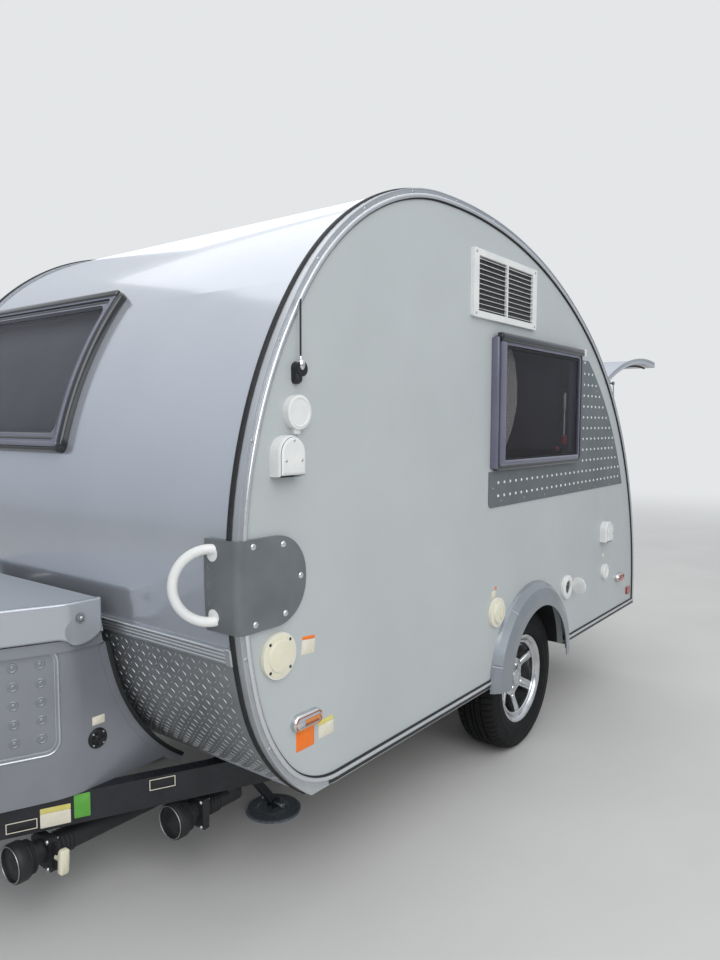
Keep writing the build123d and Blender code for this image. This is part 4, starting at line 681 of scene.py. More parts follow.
def edge_path(d, low):
    """Line round the side face, d inside the outline, from the front of the wheel arch along the
    bottom, round the low corner, over the roof and back to the arch from the tail."""
    over = outline(np.linspace(CORNER_HEADING, TAIL_HEADING, 240), d)
    r = (over[0, 1] - low) / (1 - cos(radians(CORNER_HEADING)))
    turn = np.radians(np.linspace(0, CORNER_HEADING, 18, endpoint=False))
    foot = over[0, 0] - r * sin(radians(CORNER_HEADING))
    corner = np.stack([foot + r * np.sin(turn), low + r * (1 - np.cos(turn))], -1)
    first, last = [[ARCH_X + ARCH_R + 4, low]], [[over[-1, 0], low], [ARCH_X - ARCH_R - 4, low]]
    return np.vstack([first, corner, over, last])


def edge_rail(name, finish, edge, section):
    """Rail round the side face: every section point (depth, height over the trim's face) follows the
    edge path at its own depth, and the low run sits as far over the bottom edge as it is deep."""
    rings = []
    for d, out in section:
        line = edge_path(d, BODY_Z + d - 2.0)
        rings.append(np.insert(line, 1, HALF_W + TRIM_T + out, axis=1))
    piece(name, mirrored(skin(np.stack(rings, 1))), finish, edge)


bead = [(16.5, -0.5), (17, 3.5), (19, 6), (23.5, 7.2), (28, 6.4), (31, 4), (32.4, -0.5)]
lines = [(8.5, -0.5), (8.6, 0.9), (9.6, 0.9), (10, 0.2), (12, 0.2), (12.4, 0.9), (13.4, 0.9), (13.5, -0.5)]
lip = [(0.5, -0.5), (1, 1.5), (3, 2.2), (5, 1.5), (5.5, -0.5)]
seal = [(32.5, -4.5), (32.5, 2.8), (34, 3), (36.6, 0.6), (37, -4.5)]
edge_rail("edge_bead", POLISHED, 60, bead)
edge_rail("edge_lines", ANODISED, 35, lines)
edge_rail("edge_lip", ANODISED, 50, lip)
edge_rail("edge_seal", RUBBER, 50, seal)

# rubber insert in the roof face of the trim, against the skin
S0, S_HINGE = reach(OUTLINE_HEADING) + 4, reach(224.0)
insert = np.array([(-10, -1), (-10, 2), (-7, 4.6), (0, 5.4), (7, 4.6), (9, 2), (9, -1)], float)
line = outline(np.interp(np.linspace(S0, S_HINGE, 220), LENGTHS, HEADINGS))
tangent = np.gradient(line, axis=0)
tangent /= np.linalg.norm(tangent, axis=1, keepdims=True)
normal = np.stack([tangent[:, 1], -tangent[:, 0]], -1)
SEAL_Y = 962.0
rings = np.stack([np.insert(line + v * normal, 1, SEAL_Y + u, axis=1) for u, v in insert], 1)
piece("roof_seals", mirrored(skin(rings)), RUBBER, 50)

# black band along the foot of the bottom rail
feet = []
for x0, x1 in ((ARCH_X + ARCH_R + 6, 1440.0), (-1608.0, ARCH_X - ARCH_R - 6)):
    strip = plate(x1 - x0, 15, 1.5, [(0, 0), (0, 1.2), (0.8, 2.0)], 2)
    feet.append(on_wall(strip, (x0 + x1) / 2, BODY_Z + 8.5, TRIM_T))
piece("bottom_strips", mirrored(join(*feet)), BLACK_ABS, 35)

# screws in the outer band of the trim
steps = np.arange(reach(60.0), reach(262.0), 305.0)
spots = outline(np.interp(steps, LENGTHS, HEADINGS), 12.0)
screw = turned([(0, 2.2), (3, 2.2), (5.2, 1.2), (6, 0)], 10)
heads = [on_wall(screw, x, z, TRIM_T) for x, z in spots]
piece("edge_screws", mirrored(join(*heads)), ZINC, 60)

# chequer bars on the gravel guard: pointed bars, 20 mm long, leaning alternately left and right
bar = plate(20, 4.2, 2.1, [(0, -0.4), (0.3, 0.8), (1.2, 1.4)], 1)
BAR_PITCH, BAR_SPAN = 27.0, 930
rows, cols = np.arange(S0 + 26, S_RAIL - 30, BAR_PITCH), np.arange(-BAR_SPAN, BAR_SPAN + 1, BAR_PITCH)
grid = np.stack([g.ravel() for g in np.meshgrid(cols, rows)], -1)
odd = np.round((grid - [-BAR_SPAN, rows[0]]) / BAR_PITCH).sum(1) % 2
lean, ones, zeros = np.where(odd > 0, 1.0, -1.0), np.ones(len(grid)), np.zeros(len(grid))
bars = strew(bar, np.insert(grid, 2, -SKIN_DOWN, axis=1), np.stack([ones, lean, zeros], -1),
             np.stack([-lean, ones, zeros], -1))
# the bars take the lighter chequer finish, a painted highlight
piece("guard_bars", wrap(bars, 0.0, 0.0), CHEQUER_BAR_PAINTED_HIGHLIGHT, 60)
angle = plate(1898, 24, 1, [(0, -5.2), (0, 0.6), (0.8, 1.4)], 1, 1)
piece("guard_foot_angle", wrap(angle, S0 + 14, 0.0), ANODISED, 35)

# ribs of the strip over the guard, and its end caps
rib = [(0, 4.2), (0.4, 6.2), (2.0, 7.8), (4.0, 8.2)]
ribs = [wrap(plate(1880, 9.5, 1, rib, 1, 1), S_RAIL + k * 11.0, 0.0) for k in (-1.5, -0.5, 0.5, 1.5)]
piece("guard_rail_ribs", join(*ribs), ANODISED, 60)
end = plate(26, 52, 6, [(0, 0), (0, 7), (3, 9.5)], 4)
piece("guard_rail_ends", join(*[wrap(end, S_RAIL, y) for y in (-945.0, 945.0)]), ANODISED, 35)

# front window: stepped surround, inner seal and hinge cover
FW_Y, FW_W = (-880.0 + 112.0) / 2, 992.0
S_FW0, S_FW1 = reach(102.8), reach(128.6)


def front_frame(r, bend, steps):
    """Frame round the front window, laid on the nose."""
    shape = plate(FW_W, S_FW1 - S_FW0, r, steps, bend, 24, ring=True)
    return wrap(shape, (S_FW0 + S_FW1) / 2, FW_Y)


lip = [(-5, -5), (-5, 12), (-2, 21), (3, 24.5), (11, 24.5), (14, 19), (14, 17)]
piece("front_window_lip", front_frame(22, 6, lip), BLACK_ACRYLIC)
ridge = [(13, 19), (13, 26), (16, 29.5), (25, 30.5), (31, 27), (33, 19)]
# the ridge takes the lilac-grey finish, a painted sky reflection
piece("front_window_ridge", front_frame(22, 6, ridge), LILAC_SKY_REFLECTION)
seal = [(36, 12), (37, 21.5), (41, 23), (47, 21), (57, 14), (64, 9), (64, 4), (48, 4)]
piece("front_window_seal", front_frame(46, 8, seal), BLACK_ACRYLIC, slot="black_plastic")
hinge = plate(FW_W - 20, 30, 8, [(0, 14), (0, 27), (4, 34), (10, 36)], 4, 12)
piece("front_window_hinge", wrap(hinge, S_FW1 - 14, FW_Y), BLACK_ACRYLIC)

# dimples of the plates under and behind the side windows, on a square grid: those are kept that
# lie inside the outline and clear of it, and below the window or behind it
PITCH, CLEAR, UNDER_WINDOW_Z, BEHIND_WINDOW_X = 57.3, 152.0, 1330.0, -625.0
WALL_MIDDLE = np.array([-100.0, 1200.0])
cols, rows = 301.0 - PITCH * np.arange(29), 1248.0 + PITCH * np.arange(12)
grid = np.stack([g.ravel() for g in np.meshgrid(cols, rows)], -1)
near = outline(np.linspace(150, 262, 900))
gap = np.linalg.norm(grid[:, None] - near[None], axis=2)
edge = near[gap.argmin(1)]
inside = np.linalg.norm(grid - WALL_MIDDLE, axis=1) < np.linalg.norm(edge - WALL_MIDDLE, axis=1)
inside &= gap.min(1) > CLEAR
grid = grid[inside & ((grid[:, 1] < UNDER_WINDOW_Z) | (grid[:, 0] < BEHIND_WINDOW_X))]
dome = turned([(0, 3.6), (3.8, 3.1), (6.4, 1.4), (7.2, -0.4)], 8)
PLATE_T = 3.3
dimples = strew(dome, np.insert(grid, 1, HALF_W + PLATE_T, axis=1), (-1, 0, 0), (0, 0, 1))
piece("plate_dimples", mirrored(dimples), WHITE_ABS, 60)
rivet_at = [(350, 1284), (272, 1226), (38, 1222), (-190, 1218), (-417, 1216), (-649, 1214), (-873, 1212),
            (-1097, 1210), (-1263, 1267), (-1150, 1449), (-1030, 1585), (-862, 1735)]
rivet = turned([(0, 1.8), (2.4, 1.7), (3.6, 0)], 8)
rivets = [on_wall(rivet, x, z, PLATE_T) for x, z in rivet_at]
piece("plate_rivets", mirrored(join(*rivets)), ZINC, 60)

# side windows, both sides
WIN_X0, WIN_X1, WIN_Z0, WIN_Z1 = -580.0, 370.0, 1360.0, 1925.0
wx, wz, ww, wh = (WIN_X0 + WIN_X1) / 2, (WIN_Z0 + WIN_Z1) / 2, WIN_X1 - WIN_X0, WIN_Z1 - WIN_Z0


def side_window(side):
    """Surround of an opening side window, as flat plates stood on the wall."""
    def wall(w, h, r, steps, x, z, bend=5, ring=False):
        return on_wall(plate(w, h, r, steps, bend, ring=ring), x, z, 0, side)
    section = [(-3, 0.3), (-3, 16), (0, 25), (5, 28.5), (15, 29.5), (20, 26.5), (20, 20)]
    ridge = wall(ww, wh, 42, section, wx, wz, 6, ring=True)
    post = wall(53, wh - 40, 12, [(0, 17), (0, 32), (6, 36.5), (14, 37.5)], WIN_X1 - 46, wz, 6)
    flank = wall(17, wh - 12, 8, [(0, 2), (0, 27), (3, 31), (7, 32)], WIN_X1 - 4, wz, 6)
    foot = wall(ww - 90, 22, 8, [(0, 17), (0, 27), (4, 31), (8, 32)], wx - 8, WIN_Z0 + 30)
    section = [(38, 17.5), (38, 20.5), (41, 22), (46, 22), (48, 17.5)]
    inner = wall(ww, wh, 20, section, wx, wz, ring=True)
    rail = wall(ww - 26, 33, 6, [(0, 18), (0, 38), (5, 43), (12, 44)], wx, WIN_Z1 - 4)
    end = wall(9, 38, 3, [(0, 16), (0, 45), (3, 48)], WIN_X0 + 9, WIN_Z1 - 6, 4)
    return join(ridge, rail), join(post, flank, foot), inner, end


# the flanges take the lilac-grey finish, a painted sky reflection
named = ("surrounds", BLACK_ACRYLIC), ("flanges", LILAC_SKY_REFLECTION), ("seals", RUBBER), ("hinge_ends", WHITE_ABS)
for (name, finish), left, right in zip(named, side_window(1), side_window(-1)):
    piece("side_window_" + name, join(left, right), finish)

# black sheets behind the louvres, a painted shade for the dark depth of the vent, and the four screws of the
# outlet grille
GR_X0, GR_X1, GR_Z0, GR_Z1 = -25.0, 562.0, 1982.0, 2250.0
mid = (GR_X0 + GR_X1) / 2
backs = []
for x0, x1 in ((GR_X0 + 42.5, mid - 5.5), (mid + 5.5, GR_X1 - 42.5)):
    back = plate(x1 - x0, GR_Z1 - GR_Z0 - 53, 1, [(0, 4.05), (0.3, 4.6)], 1)
    backs.append(on_wall(back, (x0 + x1) / 2, (GR_Z0 + GR_Z1) / 2))
piece("grille_painted_shade_backs", join(*backs), BLACK_ABS, 35)
screw = turned([(0, 2.6), (3.2, 2.5), (6.2, 0)], 12)
heads = [on_wall(screw, x, z, 16) for x in (GR_X0 + 20, GR_X1 - 20) for z in (GR_Z0 + 14, GR_Z1 - 14)]
piece("grille_screws", join(*heads), ZINC, 60)

# corner caps: five screws on the side face
cap_at = [(1772, 1221), (1653, 1214), (1579, 1112), (1645, 1012), (1765, 1003)]
screw = turned([(0, 2.4), (2.4, 2.6), (3, 4.2), (6.5, 4.0), (9, 2.4), (10, 0)], 18)
heads = [on_wall(screw, x, z, 14) for x, z in cap_at]
piece("corner_cap_screws", mirrored(join(*heads)), CHROME, 60)

# cream access cap and water inlet, turned covers with a raised middle
CAP_AT, DISH_AT, PORT_AT = (1666, 891), (302, 740), (-490, 712)
cap = lathe([(0, 19.5), (40, 19.5), (44, 18.5), (47.5, 13.6), (55, 13.2), (64, 12.8), (67.5, 11), (68.6, 6),
             (68.6, 0.3)], 48)
dish = lathe([(0, 27.2), (36, 27.2), (42, 25.5), (44.6, 21), (45.2, 15.2), (58, 14.6), (63, 13), (64.8, 8),
              (64.8, 0.3)], 48)
piece("cream_caps", join(on_wall(cap, *CAP_AT), on_wall(dish, *DISH_AT)), CREAM_ABS)
screw = turned([(0, 2.6), (3.4, 2.4), (5.4, 0)], 12)
piece("cap_screws", join(*around(screw, *CAP_AT, 58, 12.8)), BLACK_STEEL, 60, slot="zinc_steel")
grip = plate(14, 44, 5, [(0, 26), (0, 33), (3, 35)], 4)
piece("cap_grips", on_wall(grip, *DISH_AT), CREAM_ABS)

# open shore port: dark throat, and its round cover hanging open behind it
throat = on_wall(lathe([(0, 6.2), (33.4, 6.2), (33.4, 6.8)], 32), *PORT_AT)
pin = lathe([(0, 13), (3, 12.5), (3.4, 6.2)], 10)
piece("port_throat", throat, BLACK_ABS, 35)
piece("port_pins", join(*around(pin, *PORT_AT, 16)), ZINC, 35)
flap = lathe([(0, -4), (40, -4), (44, -2), (46, 0), (44, 3), (38, 4), (30, 6), (0, 6)], 40)
piece("port_flap", put(flap, (-549, HALF_W + 46, 712), (0.25, 1, 0), (0, 0, 1)), WHITE_ABS)
rings = [on_wall(lathe([(28, 18), (30, 21), (36, 22), (40, 19.5), (41, 18)], 32, wrap=True), -1050, 706),
         on_wall(lathe([(34, 14), (36, 17.5), (46, 18.5), (56, 16.5), (60, 14)], 40, wrap=True), *PORT_AT),
         on_wall(lathe([(38, 22), (40, 24), (44, 24), (47, 22)], 40, wrap=True), 1590, 1590)]
tab = on_wall(plate(26, 20, 6, [(0, 0.3), (0, 12), (4, 15)], 5), 1590, 1536)
piece("cover_rings", join(*rings, tab), WHITE_ABS)

# vent cowls: three screws and a dark mouth below
mouths, heads = [], []
mouth = plate(88, 32, 8, [(0, 0), (0, 1.0)], 5)
screw = turned([(0, 2.4), (3, 2.2), (4.6, 0)], 10)
for x, z in ((1640.0, 1466.0), (-1033.0, 943.0)):
    mouths.append(put(mouth, (x, HALF_W + 22, z - 58.3), (1, 0, 0), (0, -1, 0)))
    for a in (90, 215, 325):
        heads.append(on_wall(screw, x + 40 * cos(radians(a)), z + 8 + 36 * sin(radians(a)), 46))
piece("cowl_mouths", join(*mouths), BLACK_ABS, 35)
piece("cowl_screws", join(*heads), ZINC, 60)

# lamp bezels and the red lenses
bezels, reds = [], []
for x, z, w, h, stop in ((1547, 663, 116, 40, 16), (-1322, 627, 104, 38, 8)):
    steps = [(0, 0.3), (0, 10), (3, 16), (7, 19), (stop, 22.5), (stop, 0.3)]
    bezels.append(on_wall(plate(w + 14, h + 12, 26, steps, 8, ring=True), x, z))
bezels.append(on_wall(plate(40, 28, 12, [(0, 0.3), (0, 18), (4, 22), (9, 23.5)], 6), 1582, 663))
reds.append(on_wall(plate(106, 40, 16, [(0, 0.3), (0, 14), (3, 18.5), (8, 21)], 6), -1322, 627))
reds.append(on_wall(plate(62, 46, 5, [(0, 0.3), (0, 7), (2, 9)], 4), -1505, 514))
piece("lamp_bezels", mirrored(join(*bezels)), CHROME, slot="trim_metal")
piece("red_side_lamps", mirrored(join(*reds)), RED_LENS)

# blank films for the labels and reflectors of the photograph's side, without words


def film(w, h, x, z, lean=0.0):
    """Blank film on the left wall, leaning by an angle."""
    flat = plate(w, h, 4, [(0, 0.2), (0, 0.5), (0.4, 0.7)], 3)
    c, s = cos(radians(lean)), sin(radians(lean))
    return put(flat, (x, HALF_W, z), (-c, 0, s), (s, 0, c))


orange = [(82, 70, 1546, 606), (58, 10, 1530, 912, -6), (16, 16, 302, 846)]
white = [(74, 42, 1448, 599), (60, 44, 1532, 884, -6), (34, 24, -1044, 800), (36, 30, 322, 822)]
piece("reflector_film", join(*[film(*label) for label in orange]), ORANGE_FILM, 35)
piece("white_films", join(*[film(*label) for label in white]), LABEL_FILM, 35)
piece("yellow_film", film(74, 16, 1448, 628), YELLOW_FILM, 35)

# wheels


def hub(shape, out, side=1, r=0.0, turn=0.0):
    """Stands a shape on the wheel: local z points outwards, at radius r and an angle round it."""
    a = radians(turn)
    return put(shape, (AXLE_X + r * cos(a), side * out, TYRE_R + r * sin(a)), (-side, 0, 0), (0, 0, 1))


BLOCKS = 66


def tyre(side):
    """Radial tyre: half a section, mirrored across its middle and swept round the axle. Three
    round grooves stand in the section; between blocks the shoulders drop 6 mm and the ribs 3 mm."""
    half = np.array([(191, 76), (205, 79), (209, 80.5), (213, 88), (220, 94), (231, 98.3), (234, 100.2),
                     (239, 100.6), (242, 99.6), (256, 102.2), (260, 103.6), (265, 103.4), (268, 101.8),
                     (284, 101), (298, 98.8), (306, 96.6), (314, 92.8), (321, 88), (327, 82.5), (331, 76),
                     (334, 67), (335.2, 58), (335.4, 47.5), (327.5, 46.5), (327.5, 39.5), (335.8, 38.5),
                     (336, 28), (336, 14), (328, 13), (328, 6.5), (336, 5.5)])
    section = np.vstack([half, half[::-1] * [1, -1]])
    turn = (np.arange(BLOCKS)[:, None] + np.array([0.0, 0.80, 0.83, 0.97])).ravel() / BLOCKS * 2 * pi
    cut = np.tile([0.0, 0.0, 1.0, 1.0], BLOCKS)
    shoulder = (np.abs(section[:, 1]) > 50) & (section[:, 0] > 320)
    rib = (np.abs(section[:, 1]) > 15) & (np.abs(section[:, 1]) < 38) & (section[:, 0] > 335)
    r = section[None, :, 0] - cut[:, None] * (6.0 * shoulder + 3.0 * rib)[None]
    y = np.broadcast_to(side * (WHEEL_FACE - TYRE_W / 2 + section[:, 1]), r.shape)
    rings = np.stack([AXLE_X + r * np.cos(turn)[:, None], y, TYRE_R + r * np.sin(turn)[:, None]], -1)
    return skin(rings, wrap=True)


HUB_FACE = 875.0
nut = hex_bolt([(13, 0), (13, 3), (9.5, 3)], [(0, 22), (7, 21), (9.4, 18.5), (9.6, 3)])
stem = turned([(4, 0), (4, 20), (2.6, 22), (2.6, 32), (0, 32.5)], 10)
cap = turned([(39.5, 44), (39.5, 52.5), (37, 55), (31, 56.2), (27, 54.8), (24, 55), (16, 57.5),
              (0, 58.6)], 48)
lip = lathe([(196, 84), (206, 84.6), (208.8, 86), (208.8, 88.6), (205, 90), (199, 89), (188, 82), (184, 74),
             (186, 72), (192, 79)], 96, wrap=True)
seat = lathe([(181.5, 57.5), (178, 61.5), (170, 60.5), (166, 56), (170, 50)], 96, wrap=True)
rib = plate(84, 26, 12, [(0, 0), (2, 4), (5, 6.5), (9, 7)], 6)
for side, name in ((1, "left"), (-1, "right")):
    wheel = "wheel_" + name
    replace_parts(piece("tread_tyre_" + name, tyre(side), TYRE, 32, body=wheel), "tyre_" + name)
    nuts = [hub(nut, HUB_FACE + 12, side, 57.15, 72 * k - 20) for k in range(5)]
    valve = hub(stem, HUB_FACE + 40, side, 163, 90)
    piece("wheel_nuts_" + name, join(*nuts, valve), CHROME, 30, body=wheel)
    parts = [hub(cap, HUB_FACE, side), hub(lip, WHEEL_FACE - TYRE_W / 2, side), hub(seat, HUB_FACE, side)]
    for k in range(6):
        a = radians(60 * k + 30)
        along, across = np.array([cos(a), 0.0, sin(a)]), np.array([-sin(a), 0.0, cos(a)])
        at = np.array([AXLE_X, side * (HUB_FACE + 40.0), TYRE_R]) + along * 127
        parts.append(put(rib, at, along * 66 + [0, side * 20.0, 0], across * -side))
    piece("wheel_bright_parts_" + name, join(*parts), ALLOY, body=wheel)

# clips at the squared feet of the flares
clip = plate(16, 22, 3, [(0, 0), (0, 10), (3, 14)], 3)
clips = [on_wall(clip, ARCH_X + s * 396, BODY_Z + 34, TRIM_T) for s in (1, -1)]
piece("flare_clips", mirrored(join(*clips)), BLACK_ABS)

# tub: everything on the slanting sides is placed by s along the side from its bend, and by z
TUB_HALF, TUB_BEND, TUB_FRONT, TUB_FRONT_HALF = 400.0, 1975.0, 2400.0, 215.0
TUB_RUN = hypot(TUB_FRONT - TUB_BEND, TUB_FRONT_HALF - TUB_HALF)
TUB_WAY = np.array([TUB_FRONT - TUB_BEND, TUB_FRONT_HALF - TUB_HALF, 0]) / TUB_RUN
TUB_OUT = np.array([-TUB_WAY[1], TUB_WAY[0], 0])


def on_tub(shape, s, z, out=0.0):
    """Stands a shape on the slanting side: z along its outward normal, y up."""
    return put(shape, np.array([TUB_BEND, TUB_HALF, z]) + s * TUB_WAY + out * TUB_OUT, -TUB_WAY, (0, 0, 1))


def on_side(shape, x, z, out=0.0):
    """Stands a shape on the tub's straight side."""
    return put(shape, (x, TUB_HALF + out, z), (-1, 0, 0), (0, 0, 1))


dimple = join(lathe([(9, -0.3), (10, 1.6), (12.5, 2.4), (14.5, 1.4), (15.5, -0.3)], 20, wrap=True),
              turned([(0, 1.8), (3.5, 1.7), (6.2, 0.9), (7.2, -0.3)], 16))
dimples = [on_tub(dimple, 72 + 76 * i, 834 - 57.5 * j, -6.0) for i in range(5) for j in range(5)]
piece("tub_ring_dimples", mirrored(join(*dimples)), TUB_ABS, 50)
wide, high = TUB_RUN - 38, 334.0
raised = [(-1.5, -0.5), (-0.5, 3.2), (2.5, 4.6), (5, 3.4), (6.5, 2.8)]
sunk = [(9, 2.6), (10, -1), (12, -4.4), (14, -4.6), (14.5, -6.5), (9, -6.5)]
beads = [on_tub(plate(wide, high, 45, s, 8, 2, ring=True), TUB_RUN / 2, 716) for s in (raised, sunk)]
# the beads take the lighter tub finish, a painted highlight
piece("tub_panel_beads", mirrored(join(*beads)), TUB_BEAD_PAINTED_HIGHLIGHT, 50)

# connector on the tub's straight side, with a raised cross and four screws, a blank film over it,
# and the lid's hinge bolts
socket = turned([(0, 9), (10, 9), (12, 6.4), (19, 6.2), (22, 8), (30, 7), (32.5, 3.5), (33, 0.2)], 40)
SOCKET_AT, LID_HINGE = (1873, 559), (1938.0, 965.0)
fins = [on_side(plate(w, h, 2, [(0, 6), (0, 9.5), (1, 10.5)], 2), *SOCKET_AT) for w, h in ((42, 6), (6, 42))]
piece("tub_connector", join(on_side(socket, *SOCKET_AT), *fins), BLACK_ABS)
screw = turned([(0, 2.2), (2.2, 2), (3.6, 0)], 10)
heads = around(screw, *SOCKET_AT, 25, 7.2, on_side)
bolt = hex_bolt([(15, 0), (15, 1.6), (9, 1.8)], [(0, 8.2), (5, 7.8), (8, 5.6), (9, 1.6)])
ears = mirrored(on_side(bolt, *LID_HINGE, 30))
piece("tub_bolts", join(*heads, ears), ZINC)
piece("tub_film", on_side(plate(44, 27, 2, [(0, 0.2), (0, 0.5), (0.4, 0.7)], 2), 1868, 617), LABEL_FILM, 35)

# rubber moulding along the tub's rear edge, on both sides
low, top = heading_of(408.0, 34.0, 60.0), heading_of(868.0, 60.0, 120.0)
sides = outline(np.linspace(low, top, 40), -30.0)
path = np.stack([sides[:, 0], np.full(40, TUB_HALF + 1.0), sides[:, 1]], -1)
edge = np.array([(-2, 3), (-2, -6), (0, -9), (5, -9), (7, -5), (7, 3), (3, 5)], float)
piece("tub_edge_moulding", mirrored(carry(path, (0, 1, 0), edge)), RUBBER, 50)
# the skin's own edge that the moulding grips, carried on round the nose
flange = np.array([(-4.2, 1), (0.6, 1), (0.6, -34), (-4.2, -34)], float)
piece("tub_edge_flange", mirrored(carry(path, (0, 1, 0), flange)), TUB_ABS, 50)


def lid_plan(x):
    """Y of the lid's side at x: level with the tub's straight side, then in along the slant, with
    the bend eased by a smooth maximum of the two."""
    slope = (TUB_FRONT_HALF + 19.2 - TUB_HALF - 24.0) / (TUB_FRONT + 24.0 - TUB_BEND)
    over = x - TUB_BEND - 2.0
    return TUB_HALF + 25.4 + slope * 0.5 * (over + np.hypot(over, 14.0))


# side skirts of the lid, drawn down over the hinges as round ears, with a round edge on top and
# a hole round the hinge bolt
EAR_X, EAR_Z, EAR_R = 1942.0, 927.0, 46.5
SKIRT_FRONT, SKIRT_FOOT, SKIRT_TOP, BOLT_HOLE = 2421.0, 907.0, 1010.5, 13.0
rear = outline(heading_of(LID_HINGE[1], 60.0, 120.0), -53.0)[0] - 1.0
u = np.concatenate([np.linspace(0, 0.28, 30), np.linspace(0.30, 1, 18)])
x = rear + (SKIRT_FRONT - rear) * u
wide = np.where(x < EAR_X, EAR_X - rear + 2.0, EAR_R)
ear = EAR_Z - EAR_R * np.sqrt(np.clip(1 - ((x - EAR_X) / wide) ** 2, 0, 1))
ease = np.clip((x - EAR_X - 34) / 34, 0, 1)
foot = np.where(x < EAR_X, ear, np.minimum(ear, SKIRT_FOOT - 10 * (1 - ease) ** 2))
rows = [np.stack([x, lid_plan(x), foot + (SKIRT_TOP - foot) * v], -1) for v in np.linspace(0, 1, 17)]
for inset, rise in ((1.2, 3.4), (3.6, 5.2), (14.0, 5.4)):
    rows.append(np.stack([x, lid_plan(x) - inset, np.full(len(x), SKIRT_TOP + rise)], -1))
points = np.stack(rows).reshape(-1, 3)
away = points[:, [0, 2]] - LID_HINGE
far = np.linalg.norm(away, axis=1, keepdims=True)
rim = LID_HINGE + away * BOLT_HOLE / np.maximum(far, 0.1)
points[:, [0, 2]] = np.where(far < BOLT_HOLE, rim, points[:, [0, 2]])
faces = quads(len(rows), len(x))
skirt = points, [faces[~(far[:, 0] < BOLT_HOLE)[faces].all(1)]]
# the skirts take the lid's lighter finish, a painted sky reflection
thicken(piece("lid_side_skirts", mirrored(skirt), LID_PAINTED_SKY_REFLECTION, body="lid"), 0.0011, -1.0)

# drawbar: blank plates and films on the left bar's outer face
BAR_FRONT_X, BAR_FRONT_Y = 2600.0, 64.6
BAR_SLOPE = (700.0 - BAR_FRONT_Y) / (BAR_FRONT_X - 1316.0)


def on_bar(shape, x, z, out=0.0):
    """Stands a shape on the drawbar's outer face at x: the face runs in at BAR_SLOPE."""
    run = hypot(1.0, BAR_SLOPE)
    normal = np.array([BAR_SLOPE, 1.0, 0.0]) / run
    at = np.array([x, BAR_FRONT_Y + BAR_SLOPE * (BAR_FRONT_X - x), z]) + out * normal
    return put(shape, at, (-1.0, BAR_SLOPE, 0), (0, 0, 1))


def flat(w, h):
    """Thin blank plate or film."""
    return plate(w, h, 2, [(0, 0.1), (0, 0.6), (0.4, 0.8)], 2)


def border(w, h):
    """Raised line round a plate."""
    return plate(w, h, 2, [(2, 0.7), (2, 1.1), (4.5, 1.1), (4.5, 0.7)], 2, ring=True)


BAR_PLATES = ((88, 40, 1707, 378), (92, 36, 2086, 334))
plates, borders = ([on_bar(made(w, h), x, z) for w, h, x, z in BAR_PLATES] for made in (flat, border))
borders.append(on_bar(flat(88, 44), 2000, 335))
piece("bar_plates", join(*plates), BLACK_ABS, 35)
piece("bar_plate_borders", join(*borders), LABEL_FILM, 35)
piece("bar_caution_film", on_bar(flat(88, 17), 2000, 366), YELLOW_FILM, 35)
piece("bar_green_film", on_bar(flat(48, 76), 1930, 360), GREEN_FILM, 35)

# waste outlets: ribbed hose ends, rims and lids, flange bolts, the bright wire ring and pull handles
ribs, bolts, grips = [], [], []
wide_rib = lathe([(50, -2.4), (52.6, -1.2), (52.6, 1.2), (50, 2.4), (48, 0)], 36, wrap=True)
neck_rib = lathe([(36, -3), (39, -1.4), (39, 1.4), (36, 3), (34, 0)], 32, wrap=True)
rim = lathe([(58, -37), (60.4, -34), (60.4, -6), (58, -1), (50, 0.4), (49.6, -6), (56, -9)], 40, wrap=True)
lid = turned([(0, 2.5), (16, 2), (20, -1), (44, -3.4), (50, -6)], 36)
head = turned([(0, 7), (4, 6.6), (7, 4.6), (7.4, 0)], 8)
tip = turned([(0, -8), (3.4, -8), (3.4, 0), (7.4, 0)], 8)
grip = plate(30, 76, 9, [(3, -10), (0, -7), (0, 7), (3, 10)], 5)
neck = lathe([(8, -30), (7, -8), (9, 0)], 16)
for x1, y, z, way in ((1690.0, 522.0, 240.0, -1), (2130.0, 330.0, 236.0, 1)):
    def along(shape, x, dy=0.0, dz=0.0):
        return put(shape, (x, y + dy, z + dz), (0, 1, 0), (0, 0, 1))
    ribs += [along(wide_rib, x1 - 58 + 5.5 * k * 0.9) for k in range(5)]
    ribs += [along(neck_rib, x1 - 190 + 14 * k) for k in range(4)]
    ribs += [along(rim, x1), along(lid, x1 - 3)]
    for dy in (-43, 43):
        for dz in (-43, 43):
            bolts += [along(head, x1 - 94, dy, dz), along(tip, x1 - 122, dy, dz)]
    wire = np.insert(circle(54, 40) + [y, z], 0, x1 + 1.5, axis=1)
    bolts.append(carry(wire, (1, 0, 0), circle(1.6, 8), closed=True))
    grips.append(put(grip, (x1 - 108, y + way * 108, z), (1, 0, 0.06), (-0.06, 0, 1)))
    grips.append(put(neck, (x1 - 108, y + way * 98, z), (way, 0, 0), (0, 0, -1)))
piece("waste_ribs", join(*ribs), BLACK_PE)
piece("waste_bolts", join(*bolts), ZINC, 50)
piece("waste_pull_handles", join(*grips), CREAM_ABS, 50)

# antenna: chromed collar and a black fin under it
collar = lathe([(0, -16), (9, -15), (12.5, -8), (13.5, 0), (12, 9), (7.5, 14), (4.6, 15), (4.4, 22),
                (3.4, 24)], 28)
piece("antenna_collar", put(collar, (1582, HALF_W + 18, 1726), (1, 0, 0), (0, 1, 0)), CHROME)
fin = plate(30, 60, 14, [(0, 0), (0, 12), (4, 20), (9, 24)], 6)
piece("antenna_fin", on_wall(fin, 1588, 1700), BLACK_ABS)

